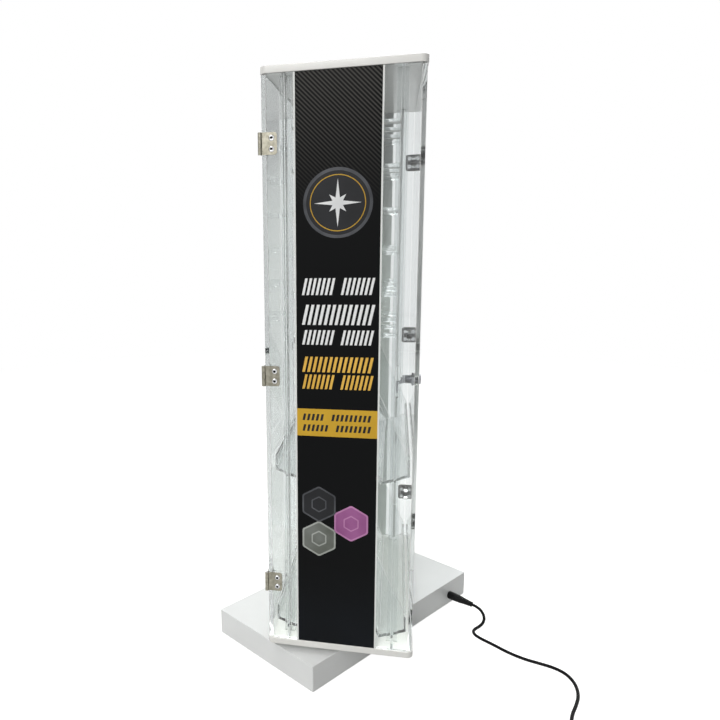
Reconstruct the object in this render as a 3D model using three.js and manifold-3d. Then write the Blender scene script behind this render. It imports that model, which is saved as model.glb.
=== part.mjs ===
// Revolving counter-top display cabinet of clear acrylic on a motorised box base.
// Millimetres, +Z up. The origin is on the floor, on the turning axis of the tower.
// The tower's narrow front faces -Y. The base is turned under it, as the cabinet stopped.
import * as THREE from 'three';
import { mergeVertices } from 'three/addons/utils/BufferGeometryUtils.js';
import Module from 'manifold-3d';

const wasm = await Module();
wasm.setup();

// Clearances
const seatGap = 0.2; // glue line or rest gap between two fixed pieces
const runGap = 0.3; // between pieces that turn or are cut for each other
const overrun = 2; // how far a cutting tool runs past the face it cuts

// Base box
const baseWidth = 177;
const baseLength = 342;
const baseHeight = 37;
const baseWall = 5;
const baseDeck = 5;
const baseCorner = 1.5;
const baseLift = 2; // the shell's lower edge above the floor
const baseTurn = THREE.MathUtils.degToRad(-36.2); // clockwise from above, from the tower's depth

// Tower
const turntableGap = 10; // base top to the bottom plate
const towerWidth = 175; // across the outer faces of the doors
const towerDepth = 328; // across the outer faces of the narrow panels
const towerHeight = 690; // over both plates
const plateThickness = 8;
const plateOverhang = 1.5;
const plateCorner = 8;
const panelThickness = 4;
const doorThickness = 5;
const doorPlateGap = 1.5; // above and below each door
const doorEndGap = 0.4; // door ends set back from the narrow panels' faces
const doorPanelGap = 0.5; // door's inner face to a narrow panel's edge

// Spine, pegs and stiles inside
const spineThickness = 5;
const stileThickness = 3;
const stileInset = 24; // middle of the web, from the door's outer face
const stileWeb = 16; // web depth, from the narrow panel inwards
const stileFlange = 13;
const stileTab = 7; // how far the flange's tabs enter the plates
const slotClearance = 0.3;
const pegColumns = 4;
const pegColumnInset = 35.6; // outer columns from the spine's ends
const pegRows = 6;
const pegPitch = 49;
const pegLowest = 435; // axis of the lowest row above the floor
const pegRadius = 3;
const pegTipGap = 20; // the tips to the closed door
const pegTipRadius = 3.6; // a slight flare that keeps the goods on
const pegStripWidth = 14;
const pegStripThickness = 3;
const pegStripMargin = 16; // strip beyond the first and last peg

// Slanted trays
const trayWall = 3;
const trayDoorGap = 1.5; // lip to the closed door
const trayLip = 19;
const trayFloorRun = 34; // floor from lip to back, measured level
const trayFloorTilt = THREE.MathUtils.degToRad(19.3);
const trayLean = THREE.MathUtils.degToRad(24.4); // of the back, from upright
const trayEndTop = 142; // top of the end plates above the tray's lowest edge
const trayPitch = 202.5;
const trayFloorGap = 0.5; // lowest tray above the bottom plate

// Printed graphic on each narrow face
const signWidth = 96.5;
const signThickness = 0.5;
const signShift = -3.85; // stuck on slightly off the middle

// Butt hinges
const hingeHeight = 24;
const hingeReach = 19; // free edge of a leaf from the pin's axis
const hingeThickness = 1.2;
const hingeCorner = 3;
const hingePitch = 262;
const hingeRise = 2; // middle hinge above the door's middle
const knuckleRadius = 2.2;
const knuckleCentre = 7.7; // length of the middle knuckle
const pinRadius = 1;
const pinOffset = 1.85; // the pin's axis off each face that a leaf lies on
const screwHeadRadius = 3.2;
const screwHeadRise = 1.5;
const screwCrownShare = 0.6; // flat of the button head
const screwPitch = 11.7;
const screwReach = 13; // screws from the pin's axis
const screwRadius = 1.5;
const screwNutFlats = 5.5;
const screwNutThickness = 2.4;
const screwEnd = 0.8; // how far a screw's end stands out of its nut

// Cam locks
const lockEdge = 30; // axis from the narrow panel's outer face
const lockDrop = 4; // axis below the door's middle
const barrelRadius = 5;
const barrelLength = 15.5; // from the door's outer face inwards
const lockHeadRadius = 6;
const lockHeadThickness = 3;
const lockHeadEdgeShare = 0.7; // height at which the head's rounded edge starts
const lockHeadCrownShare = 0.85; // radius of its flat face
const lockNutFlats = 13;
const lockNutThickness = 2.5;
const camThickness = 2.6;
const camWidth = 8;
const camReach = 15.5;
const camHook = 9.6; // how far the hook lies inboard of the hub
const camDrop = 1.2; // fall of the arm between them
const camClearance = 0.6; // round the turned cam in the stile's window
const camScrewRadius = 2.5;
const camScrewRise = 1.4;
const camWindow = 38; // height of the window in the stile's flange that the cam turns into

// Turntable bearing and drive
const gearModule = 2;
const ringTeeth = 56;
const pinionTeeth = 14;
const pressureAngle = THREE.MathUtils.degToRad(20);
const gearBacklash = 0.3;
const ringTipShare = 0.9; // ring gear addendum, in modules
const gearRootShare = 1.25; // dedendum, in modules
const ringRim = 3.5;
const ringGearHeight = 6.3;
const pinionHeight = 5.3;
const pinionLift = 4; // the pinion's underside above the deck
const raceInner = 66;
const raceWidth = 6;
const raceWall = 1.5;
const raceFloor = 1.6;
const raceHeight = 3.8;
const glideClearance = 0.5;
const raceSegments = 32;

// Gear motor, socket and lead in the base
const motorRadius = 25;
const motorHeight = 19;
const motorBossRadius = 5;
const motorBossRise = 4.8; // boss above the deck's underside
const motorShaftRadius = 3;
const motorEarReach = 33;
const motorEarWidth = 12;
const motorEarThickness = 1;
const motorEarHole = 1.8;
const motorEarHoleInset = 4; // from the ear's end
const terminalWidth = 14;
const terminalDepth = 8;
const terminalHeight = 10;
const deckHoleClearance = 1.2;
const coverThickness = 4;
const coverClearance = 0.5;
const footRadius = 8;
const footInset = 20;
const jackAlong = 128.8; // socket along the base from its middle
const jackHeight = 15.9;
const jackSleeveRadius = 4.5;
const jackBoreRadius = 3.1;
const jackBoreDepth = 10;
const jackBodyDepth = 14;
const jackBodyWidth = 11;
const jackBodyHeight = 10;
const leadRadius = 1.5;

// Supply cord, its plug and its wall adapter
const cordRadius = 2;
const cordRest = 2.05; // the cord's axis above the floor
const plugRadius = 5.7;
const plugGrip = 9; // its full width, from the socket
const plugBody = 22; // from the socket to the collar of the strain relief
const plugCollarRadius = 5.1;
const plugLength = 38;
const plugNeckRadius = 4.6;
const plugTailRadius = 3.5;
const plugTipRadius = 2.7;
const plugTipLength = 9;
const adapterLength = 70;
const adapterWidth = 34;
const adapterHeight = 28;
const adapterCorner = 5;
const adapterPortHeight = 10;
const adapterReliefLength = 16;
const bladeLength = 17;
const bladeWidth = 6.3;
const bladeThickness = 1.5;
const bladePitch = 12.7;

// The coil that the unseen length lies in
const coilTurnsPerLayer = 3.625;
const coilMiddleRadius = 24;
const coilPitch = 4.5;
const coilLayerRise = 4.5;
const coilSteps = 24;
const coilSides = 6;
const coilTail = 24; // from the last turn to the adapter's relief
const coilClimb = 0.25; // turns over which it climbs, before and after the middle

// Sizes that follow from those above
const plateWidth = towerWidth + 2 * plateOverhang;
const plateDepth = towerDepth + 2 * plateOverhang;
const towerBottom = baseHeight + turntableGap;
const floorTop = towerBottom + plateThickness;
const towerTop = towerBottom + towerHeight;
const ceiling = towerTop - plateThickness;
const middleHeight = (floorTop + ceiling) / 2;
const doorFace = towerWidth / 2;
const doorInner = doorFace - doorThickness;
const stileOffset = doorFace - stileInset;
const pegTip = doorInner - pegTipGap;
const panelFace = towerDepth / 2;
const panelInner = panelFace - panelThickness;
const panelEdge = doorInner - doorPanelGap;
const doorLength = towerDepth - 2 * doorEndGap;
const stileEnd = panelInner - seatGap - stileWeb;
const rackEnd = stileEnd - stileThickness - seatGap;
const pegColumnPitch = 2 * (rackEnd - pegColumnInset) / (pegColumns - 1);
const lockPlace = panelFace - lockEdge;
const lockHeight = middleHeight - lockDrop;
const camHub = doorFace - barrelLength - runGap;
const camBend = camHook - camThickness;
const leafSeat = pinOffset - seatGap;
const pinX = -doorFace - pinOffset;
const pinY = -panelFace - pinOffset;
const pitchRadius = gearModule * ringTeeth / 2;
const pinionPitchRadius = gearModule * pinionTeeth / 2;
const motorPlace = pitchRadius - pinionPitchRadius;
const spineFace = spineThickness / 2 + seatGap;

// Materials
const finish = (color, roughness, metalness = 0, opacity = 1) => new THREE.MeshStandardMaterial({
  color, roughness, metalness, opacity, transparent: opacity < 1,
});
const clearAcrylic = finish(0xdfe6e4, 0.05, 0, 0.35);
const whiteAcrylic = finish(0xf2f3f0, 0.25);
const whiteBase = finish(0xefefeb, 0.35);
const printedVinyl = finish(0x16171a, 0.45);
const nickel = finish(0xb0aa9a, 0.3, 1);
const chrome = finish(0xc9cacb, 0.12, 1);
const zinc = finish(0xa3a6a8, 0.4, 1);
const acetal = finish(0xe8e6df, 0.4);
const blackPlastic = finish(0x1b1c1e, 0.45);
const rubber = finish(0x2a2a2b, 0.8);

// Geometry with its faces pointing out, also after a mirror or a reversed profile
function outward(geometry) {
  const bare = geometry.clone();
  bare.deleteAttribute('normal');
  bare.deleteAttribute('uv');
  const merged = mergeVertices(bare, 1e-4);
  const place = merged.attributes.position;
  const index = merged.index.array;
  const a = new THREE.Vector3();
  const b = new THREE.Vector3();
  const c = new THREE.Vector3();
  let volume = 0;
  for (let i = 0; i < index.length; i += 3) {
    a.fromBufferAttribute(place, index[i]);
    b.fromBufferAttribute(place, index[i + 1]);
    c.fromBufferAttribute(place, index[i + 2]);
    volume += a.dot(b.cross(c));
  }
  if (volume < 0) {
    for (let i = 0; i < index.length; i += 3) {
      [index[i], index[i + 1]] = [index[i + 1], index[i]];
    }
  }
  return merged;
}

function solid(geometry) {
  const closed = outward(geometry);
  return new wasm.Manifold(new wasm.Mesh({
    numProp: 3,
    vertProperties: new Float32Array(closed.attributes.position.array),
    triVerts: new Uint32Array(closed.index.array),
  }));
}

function toGeometry(manifold) {
  const mesh = manifold.getMesh();
  const geometry = new THREE.BufferGeometry();
  geometry.setAttribute('position', new THREE.BufferAttribute(mesh.vertProperties, 3));
  geometry.setIndex(new THREE.BufferAttribute(mesh.triVerts, 1));
  return geometry;
}

function join(...geometries) {
  return toGeometry(geometries.map(solid).reduce((whole, next) => whole.add(next)));
}

function cut(geometry, ...tools) {
  return toGeometry(tools.map(solid).reduce((whole, tool) => whole.subtract(tool), solid(geometry)));
}

// A block from its lowest corner to its highest corner
function block(low, high) {
  const geometry = new THREE.BoxGeometry(high[0] - low[0], high[1] - low[1], high[2] - low[2]);
  return geometry.translate((low[0] + high[0]) / 2, (low[1] + high[1]) / 2, (low[2] + high[2]) / 2);
}

// Steps round a quarter turn: fewer on a small corner
const smallCorner = 3;
const cornerSteps = (radius) => (radius > smallCorner ? 5 : 2);

// A level plate with rounded corners, centred on the axis
function roundedPlate(width, depth, radius, bottom, top) {
  const shape = new THREE.Shape();
  const x = width / 2;
  const y = depth / 2;
  shape.moveTo(-x + radius, -y);
  shape.lineTo(x - radius, -y);
  shape.absarc(x - radius, -y + radius, radius, -Math.PI / 2, 0);
  shape.lineTo(x, y - radius);
  shape.absarc(x - radius, y - radius, radius, 0, Math.PI / 2);
  shape.lineTo(-x + radius, y);
  shape.absarc(-x + radius, y - radius, radius, Math.PI / 2, Math.PI);
  shape.lineTo(-x, -y + radius);
  shape.absarc(-x + radius, -y + radius, radius, Math.PI, 1.5 * Math.PI);
  const geometry = new THREE.ExtrudeGeometry(shape, {
    depth: top - bottom, bevelEnabled: false, curveSegments: cornerSteps(radius),
  });
  return geometry.translate(0, 0, bottom);
}

// An outline of level and upright coordinates, drawn out along Y between two places
function prismAlongY(points, from, to) {
  const shape = new THREE.Shape(points.map(([x, z]) => new THREE.Vector2(x, z)));
  const geometry = new THREE.ExtrudeGeometry(shape, { depth: to - from, bevelEnabled: false });
  geometry.rotateX(Math.PI / 2);
  return geometry.translate(0, to, 0);
}

// A profile of radius and height, turned about the Z axis
function turned(profile, segments) {
  const points = profile.map(([radius, height]) => new THREE.Vector2(radius, height));
  const geometry = new THREE.LatheGeometry(points, segments);
  return geometry.rotateX(Math.PI / 2);
}

function rod(radius, bottom, top, segments) {
  return turned([[0, bottom], [radius, bottom], [radius, top], [0, top]], segments);
}

// An open tube of pieces along a path of points, closed by two flat ends
function tubeAlong(points, radius, sides) {
  const positions = [];
  const index = [];
  const up = new THREE.Vector3(0, 0, 1);
  points.forEach((point, i) => {
    const before = points[Math.max(i - 1, 0)];
    const after = points[Math.min(i + 1, points.length - 1)];
    const along = after.clone().sub(before).normalize();
    const side = along.clone().cross(up).normalize();
    const over = side.clone().cross(along);
    for (let k = 0; k < sides; k += 1) {
      const angle = 2 * Math.PI * k / sides;
      const place = point.clone();
      place.addScaledVector(side, radius * Math.cos(angle));
      place.addScaledVector(over, radius * Math.sin(angle));
      positions.push(place.x, place.y, place.z);
    }
  });
  for (let i = 0; i < points.length - 1; i += 1) {
    for (let k = 0; k < sides; k += 1) {
      const here = i * sides + k;
      const next = i * sides + (k + 1) % sides;
      index.push(here, next, here + sides, next, next + sides, here + sides);
    }
  }
  const last = (points.length - 1) * sides;
  for (let k = 1; k < sides - 1; k += 1) {
    index.push(0, k + 1, k, last, last + k, last + k + 1);
  }
  const geometry = new THREE.BufferGeometry();
  geometry.setAttribute('position', new THREE.Float32BufferAttribute(positions, 3));
  geometry.setIndex(index);
  return geometry;
}

const cabinet = new THREE.Group();
const baseGroup = new THREE.Group();
baseGroup.rotation.z = baseTurn;
cabinet.add(baseGroup);

function piece(parent, name, geometry, material) {
  const mesh = new THREE.Mesh(outward(geometry), material);
  mesh.name = name;
  parent.add(mesh);
  return mesh;
}

// Base shell: an open box with a deck, a hole for the drive and one for the socket
function baseShell() {
  const inside = baseWidth - 2 * baseWall;
  const insideLength = baseLength - 2 * baseWall;
  const underDeck = baseHeight - baseDeck;
  const holeRadius = motorBossRadius + deckHoleClearance;
  const driveHole = rod(holeRadius, underDeck - overrun, baseHeight + overrun, 24);
  driveHole.translate(0, motorPlace, 0);
  const socketHole = rod(jackSleeveRadius + slotClearance, -overrun, baseWall + overrun, 20);
  socketHole.rotateY(Math.PI / 2);
  socketHole.translate(baseWidth / 2 - baseWall, jackAlong, jackHeight);
  return cut(
    roundedPlate(baseWidth, baseLength, baseCorner, baseLift, baseHeight),
    roundedPlate(inside, insideLength, baseCorner, baseLift - overrun, underDeck),
    driveHole,
    socketHole,
  );
}

const coverBottom = baseLift + seatGap;
const coverTop = coverBottom + coverThickness;
const coverWidth = baseWidth - 2 * baseWall - 2 * coverClearance;
const coverLength = baseLength - 2 * baseWall - 2 * coverClearance;
piece(baseGroup, 'base_shell', baseShell(), whiteBase);
piece(baseGroup, 'base_cover',
  roundedPlate(coverWidth, coverLength, baseCorner, coverBottom, coverTop), whiteBase);

const footPlaces = [[-1, -1], [1, -1], [1, 1], [-1, 1]];
footPlaces.forEach(([x, y], i) => {
  const foot = turned([
    [0, 0], [footRadius - baseLift / 2, 0], [footRadius, baseLift / 2],
    [footRadius, baseLift], [0, baseLift],
  ], 16);
  foot.translate(x * (baseWidth / 2 - footInset), y * (baseLength / 2 - footInset), 0);
  piece(baseGroup, `rubber_foot_${i + 1}`, foot, rubber);
});

// Pancake gear motor under the deck, with its boss, two ears and a terminal block
function gearMotor() {
  const top = baseHeight - baseDeck - seatGap;
  const bottom = top - motorHeight;
  const body = rod(motorRadius, bottom, top - motorEarThickness, 28);
  const boss = rod(motorBossRadius, bottom + overrun, top + motorBossRise, 20);
  const ears = block(
    [-motorEarReach, -motorEarWidth / 2, top - motorEarThickness - runGap],
    [motorEarReach, motorEarWidth / 2, top],
  );
  const terminals = block(
    [-terminalWidth / 2, motorRadius - overrun, bottom],
    [terminalWidth / 2, motorRadius + terminalDepth, bottom + terminalHeight],
  );
  const holes = [-1, 1].map((side) => {
    const hole = rod(motorEarHole, top - motorEarThickness - overrun, top + overrun, 12);
    return hole.translate(side * (motorEarReach - motorEarHoleInset), 0, 0);
  });
  return cut(join(body, boss, ears, terminals), ...holes);
}

const motor = piece(baseGroup, 'gear_motor', gearMotor(), zinc);
motor.position.y = motorPlace;

// Involute outline of a toothed wheel, with one tooth's middle on the +X axis
function toothedOutline(teeth, tipRadius, rootRadius, backlash) {
  const pitch = gearModule * teeth / 2;
  const base = pitch * Math.cos(pressureAngle);
  const involute = (angle) => Math.tan(angle) - angle;
  const halfAngle = (radius) => {
    const angle = radius > base ? Math.acos(base / radius) : 0;
    const atPitch = Math.PI / (2 * teeth) - backlash / (2 * pitch);
    return atPitch + involute(pressureAngle) - involute(angle);
  };
  const flank = [rootRadius, Math.max(rootRadius, base), (pitch + tipRadius) / 2, tipRadius]
    .filter((radius, i, all) => i === 0 || radius > all[i - 1]);
  const outline = [];
  for (let tooth = 0; tooth < teeth; tooth += 1) {
    const middle = 2 * Math.PI * tooth / teeth;
    const sides = [-1, 1].map((side) => flank.map((radius) => {
      const angle = middle + side * halfAngle(radius);
      return new THREE.Vector2(radius * Math.cos(angle), radius * Math.sin(angle));
    }));
    outline.push(...sides[0], ...sides[1].reverse());
  }
  return outline;
}

// Ring gear under the tower: its tooth spaces are the teeth of the outline
const driveAngle = Math.PI / 2 + baseTurn;
const ringRoot = pitchRadius + gearRootShare * gearModule;
const ringTip = pitchRadius - ringTipShare * gearModule;
function ringGear() {
  const rim = new THREE.Shape();
  rim.absarc(0, 0, ringRoot + ringRim, 0, 2 * Math.PI);
  rim.holes.push(new THREE.Path(toothedOutline(ringTeeth, ringRoot, ringTip, 0)));
  const geometry = new THREE.ExtrudeGeometry(rim, {
    depth: ringGearHeight, bevelEnabled: false, curveSegments: 32,
  });
  geometry.rotateZ(driveAngle);
  return geometry.translate(0, 0, towerBottom - seatGap - ringGearHeight);
}
piece(cabinet, 'ring_gear', ringGear(), acetal);

// Pinion on its shaft stub, one tooth pointing away from the tower's axis
function drivePinion() {
  const tip = pinionPitchRadius + gearModule;
  const root = pinionPitchRadius - gearRootShare * gearModule;
  const shape = new THREE.Shape(toothedOutline(pinionTeeth, tip, root, gearBacklash));
  const wheel = new THREE.ExtrudeGeometry(shape, { depth: pinionHeight, bevelEnabled: false });
  wheel.rotateZ(Math.PI / 2);
  wheel.translate(0, 0, baseHeight + pinionLift);
  const bossTop = baseHeight - baseDeck - seatGap + motorBossRise;
  const shaft = rod(motorShaftRadius, bossTop + runGap, baseHeight + pinionLift + overrun, 16);
  return join(wheel, shaft);
}
const pinion = piece(baseGroup, 'drive_pinion', drivePinion(), acetal);
pinion.position.y = motorPlace;

// Turntable bearing: two channel rings with a glide ring between them
function raceRing() {
  const outer = raceInner + raceWidth;
  return turned([
    [raceInner, 0], [outer, 0], [outer, raceHeight], [outer - raceWall, raceHeight],
    [outer - raceWall, raceFloor], [raceInner + raceWall, raceFloor],
    [raceInner + raceWall, raceHeight], [raceInner, raceHeight], [raceInner, 0],
  ], raceSegments);
}
const lowerRace = raceRing().translate(0, 0, baseHeight + seatGap);
const upperRace = raceRing().rotateX(Math.PI).translate(0, 0, towerBottom - seatGap);
const glideInner = raceInner + raceWall + glideClearance;
const glideOuter = raceInner + raceWidth - raceWall - glideClearance;
const glideBottom = baseHeight + seatGap + raceFloor + seatGap;
const glideTop = towerBottom - seatGap - raceFloor - runGap;
piece(cabinet, 'bearing_lower_ring', lowerRace, nickel);
piece(cabinet, 'bearing_upper_ring', upperRace, nickel);
piece(cabinet, 'bearing_glide_ring', turned([
  [glideInner, glideBottom], [glideOuter, glideBottom], [glideOuter, glideTop],
  [glideInner, glideTop], [glideInner, glideBottom],
], raceSegments), acetal);

// Socket in the base's long side, and the lead from it to the motor
function powerSocket() {
  const wallInner = baseWidth / 2 - baseWall;
  const body = block(
    [wallInner - seatGap - jackBodyDepth, -jackBodyWidth / 2, -jackBodyHeight / 2],
    [wallInner - seatGap, jackBodyWidth / 2, jackBodyHeight / 2],
  );
  const sleeve = rod(jackSleeveRadius, wallInner - overrun, baseWidth / 2, 20);
  const bore = rod(jackBoreRadius, baseWidth / 2 - jackBoreDepth, baseWidth / 2 + overrun, 16);
  sleeve.rotateY(Math.PI / 2);
  bore.rotateY(Math.PI / 2);
  return cut(join(body, sleeve), bore).translate(0, jackAlong, jackHeight);
}
piece(baseGroup, 'power_socket', powerSocket(), blackPlastic);

const leadStart = new THREE.Vector3(
  baseWidth / 2 - baseWall - 2 * seatGap - jackBodyDepth, jackAlong, jackHeight,
);
const leadEnd = new THREE.Vector3(
  0, motorPlace + motorRadius + terminalDepth + seatGap,
  baseHeight - baseDeck - seatGap - motorHeight + terminalHeight / 2,
);
const leadShares = [[0, 0], [0.2, 0], [0.45, 0.12], [0.7, 0.4], [0.9, 0.7], [1, 0.88], [1, 1]];
const leadCurve = new THREE.CatmullRomCurve3(leadShares.map(([across, along]) => new THREE.Vector3(
  THREE.MathUtils.lerp(leadStart.x, leadEnd.x, across),
  THREE.MathUtils.lerp(leadStart.y, leadEnd.y, along),
  THREE.MathUtils.lerp(leadStart.z, leadEnd.z, (across + along) / 2),
)));
const leadSection = new THREE.Shape();
leadSection.absarc(0, 0, leadRadius, 0, 2 * Math.PI);
piece(baseGroup, 'motor_lead', new THREE.ExtrudeGeometry(leadSection, {
  steps: 14, curveSegments: 3, extrudePath: leadCurve, bevelEnabled: false,
}), blackPlastic);

// Plates, with slots that take the stiles' tabs
const tabSlots = (bottom, top) => [-1, 1].flatMap((sideX) => [-1, 1].map((sideY) => {
  const x = sideX * stileOffset;
  const y = sideY * (stileEnd - stileThickness / 2);
  const halfX = stileFlange / 2 + slotClearance;
  const halfY = stileThickness / 2 + slotClearance;
  return block([x - halfX, y - halfY, bottom - overrun], [x + halfX, y + halfY, top + overrun]);
}));
piece(cabinet, 'bottom_plate', cut(
  roundedPlate(plateWidth, plateDepth, plateCorner, towerBottom, floorTop),
  ...tabSlots(towerBottom, floorTop),
), whiteAcrylic);
piece(cabinet, 'top_plate', cut(
  roundedPlate(plateWidth, plateDepth, plateCorner, ceiling, towerTop),
  ...tabSlots(ceiling, towerTop),
), whiteAcrylic);
piece(cabinet, 'spine_panel', block(
  [-spineThickness / 2, -rackEnd, floorTop + seatGap],
  [spineThickness / 2, rackEnd, ceiling - seatGap],
), clearAcrylic);

// T-shaped stile in a corner, web against the narrow panel, flange towards the middle.
// Beside a lock its flange has a window, and the turned cam bears on the window's outer edge.
function stile(side, windowed) {
  const x = side * stileOffset;
  const half = stileThickness / 2;
  const low = floorTop + seatGap;
  const high = ceiling - seatGap;
  const web = block([x - half, stileEnd - half, low], [x + half, panelInner - seatGap, high]);
  const flange = block(
    [x - stileFlange / 2, stileEnd - stileThickness, low - stileTab],
    [x + stileFlange / 2, stileEnd, high + stileTab],
  );
  const whole = join(web, flange);
  if (!windowed) return whole;
  const outer = side * (stileOffset + half + seatGap);
  const inner = side * (camHub - camBend - camThickness - camClearance);
  return cut(whole, block(
    [Math.min(outer, inner), stileEnd - stileThickness - overrun, lockHeight - camWindow / 2],
    [Math.max(outer, inner), lockPlace + camReach + camClearance, lockHeight + camWindow / 2],
  ));
}

// Vertical strip of the spine with its row of pegs, for the side at -X
function pegStrip(y) {
  const wall = -spineFace - pegStripThickness;
  const top = pegLowest + (pegRows - 1) * pegPitch;
  const strip = block(
    [wall, y - pegStripWidth / 2, pegLowest - pegStripMargin],
    [-spineFace, y + pegStripWidth / 2, top + pegStripMargin],
  );
  const pegs = [];
  for (let row = 0; row < pegRows; row += 1) {
    const peg = turned([
      [0, pegStripThickness / 2], [pegRadius, pegStripThickness / 2],
      [pegTipRadius, pegTip - spineFace], [0, pegTip - spineFace],
    ], 8);
    peg.rotateY(-Math.PI / 2);
    pegs.push(peg.translate(-spineFace, y, pegLowest + row * pegPitch));
  }
  return join(strip, ...pegs);
}

// Slanted tray for the side at -X: leaning back, tilted floor, upright lip, two end plates
function tray(level) {
  const lipOut = -(doorInner - trayDoorGap);
  const backFoot = lipOut + trayFloorRun;
  const foot = floorTop + trayFloorGap + level * trayPitch;
  const lipFoot = foot + trayFloorRun * Math.tan(trayFloorTilt);
  const lipTop = lipFoot + trayLip;
  const spineSide = -spineFace;
  const backTop = foot + (spineSide - backFoot) / Math.tan(trayLean);
  const endTop = foot + trayEndTop;
  const endCorner = lipOut + (endTop - lipTop) * Math.tan(trayLean);
  const backWall = trayWall / Math.cos(trayLean);
  const floorWall = trayWall / Math.cos(trayFloorTilt);
  const innerFootX = backFoot + (floorWall - backWall / Math.tan(trayLean))
    / (1 / Math.tan(trayLean) + Math.tan(trayFloorTilt));
  const innerFootZ = foot + floorWall - (innerFootX - backFoot) * Math.tan(trayFloorTilt);
  const lipInner = lipOut + trayWall;
  const lipInnerZ = foot + floorWall - (lipInner - backFoot) * Math.tan(trayFloorTilt);
  const profile = [
    [backFoot, foot],
    [spineSide, backTop],
    [spineSide, backTop + backWall / Math.tan(trayLean)],
    [innerFootX, innerFootZ],
    [lipInner, lipInnerZ],
    [lipInner, lipTop],
    [lipOut, lipTop],
    [lipOut, lipFoot],
  ];
  const endOutline = [
    [backFoot, foot], [spineSide, backTop], [spineSide, endTop],
    [endCorner, endTop], [lipOut, lipTop], [lipOut, lipFoot],
  ];
  return join(
    prismAlongY(profile, -rackEnd, rackEnd),
    prismAlongY(endOutline, -rackEnd, -rackEnd + trayWall),
    prismAlongY(endOutline, rackEnd - trayWall, rackEnd),
  );
}

// Hinge leaf in the pin's frame: the leaf runs along +X and lies on a face at y = pinOffset, and
// its screws go through the sheet behind that face into nuts
function hingeLeaf(fixed) {
  const half = hingeHeight / 2;
  const middle = knuckleCentre / 2;
  const clear = knuckleRadius + runGap;
  const r = hingeCorner;
  const outline = new THREE.Shape();
  const inner = fixed ? [0, clear] : [clear, 0];
  const step = fixed ? middle + runGap : middle;
  outline.moveTo(inner[0], -half);
  outline.lineTo(hingeReach - r, -half);
  outline.absarc(hingeReach - r, -half + r, r, -Math.PI / 2, 0);
  outline.lineTo(hingeReach, half - r);
  outline.absarc(hingeReach - r, half - r, r, 0, Math.PI / 2);
  outline.lineTo(inner[0], half);
  outline.lineTo(inner[0], step);
  outline.lineTo(inner[1], step);
  outline.lineTo(inner[1], -step);
  outline.lineTo(inner[0], -step);
  const slab = new THREE.ExtrudeGeometry(outline, {
    depth: hingeThickness, bevelEnabled: false, curveSegments: 3,
  });
  slab.rotateX(Math.PI / 2);
  slab.translate(0, leafSeat, 0);
  const nutSeat = pinOffset + (fixed ? panelThickness : doorThickness) + seatGap;
  const nutEnd = nutSeat + screwNutThickness;
  const screws = [-1, 1].map((side) => {
    const head = turned([
      [0, -hingeThickness / 2], [screwHeadRadius, -hingeThickness / 2], [screwHeadRadius, 0],
      [screwHeadRadius * screwCrownShare, screwHeadRise], [0, screwHeadRise],
    ], 10);
    head.rotateX(Math.PI / 2).translate(0, leafSeat - hingeThickness, 0);
    const shank = join(
      rod(screwRadius, leafSeat - hingeThickness, nutEnd + screwEnd, 8),
      rod(screwNutFlats / Math.sqrt(3), nutSeat, nutEnd, 6),
    ).rotateX(-Math.PI / 2);
    return join(head, shank).translate(screwReach, 0, side * screwPitch / 2);
  });
  if (fixed) {
    return join(
      slab,
      rod(knuckleRadius, middle + runGap, half, 12),
      rod(knuckleRadius, -half, -middle - runGap, 12),
      rod(pinRadius, -half, half, 8),
      ...screws,
    );
  }
  return cut(
    join(slab, rod(knuckleRadius, -middle, middle, 12), ...screws),
    rod(pinRadius + runGap, -half, half, 8),
  );
}

// Everything that comes twice, half a turn apart: this half holds the front and the left door
const halves = [
  { turn: 0, face: 'front', door: 'left', near: 'front_left', far: 'rear_left' },
  { turn: Math.PI, face: 'rear', door: 'right', near: 'rear_right', far: 'front_right' },
];
const hingeLevels = ['lower', 'middle', 'upper'];
const hingeHeights = [-1, 0, 1].map((step) => middleHeight + hingeRise + step * hingePitch);

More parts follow.
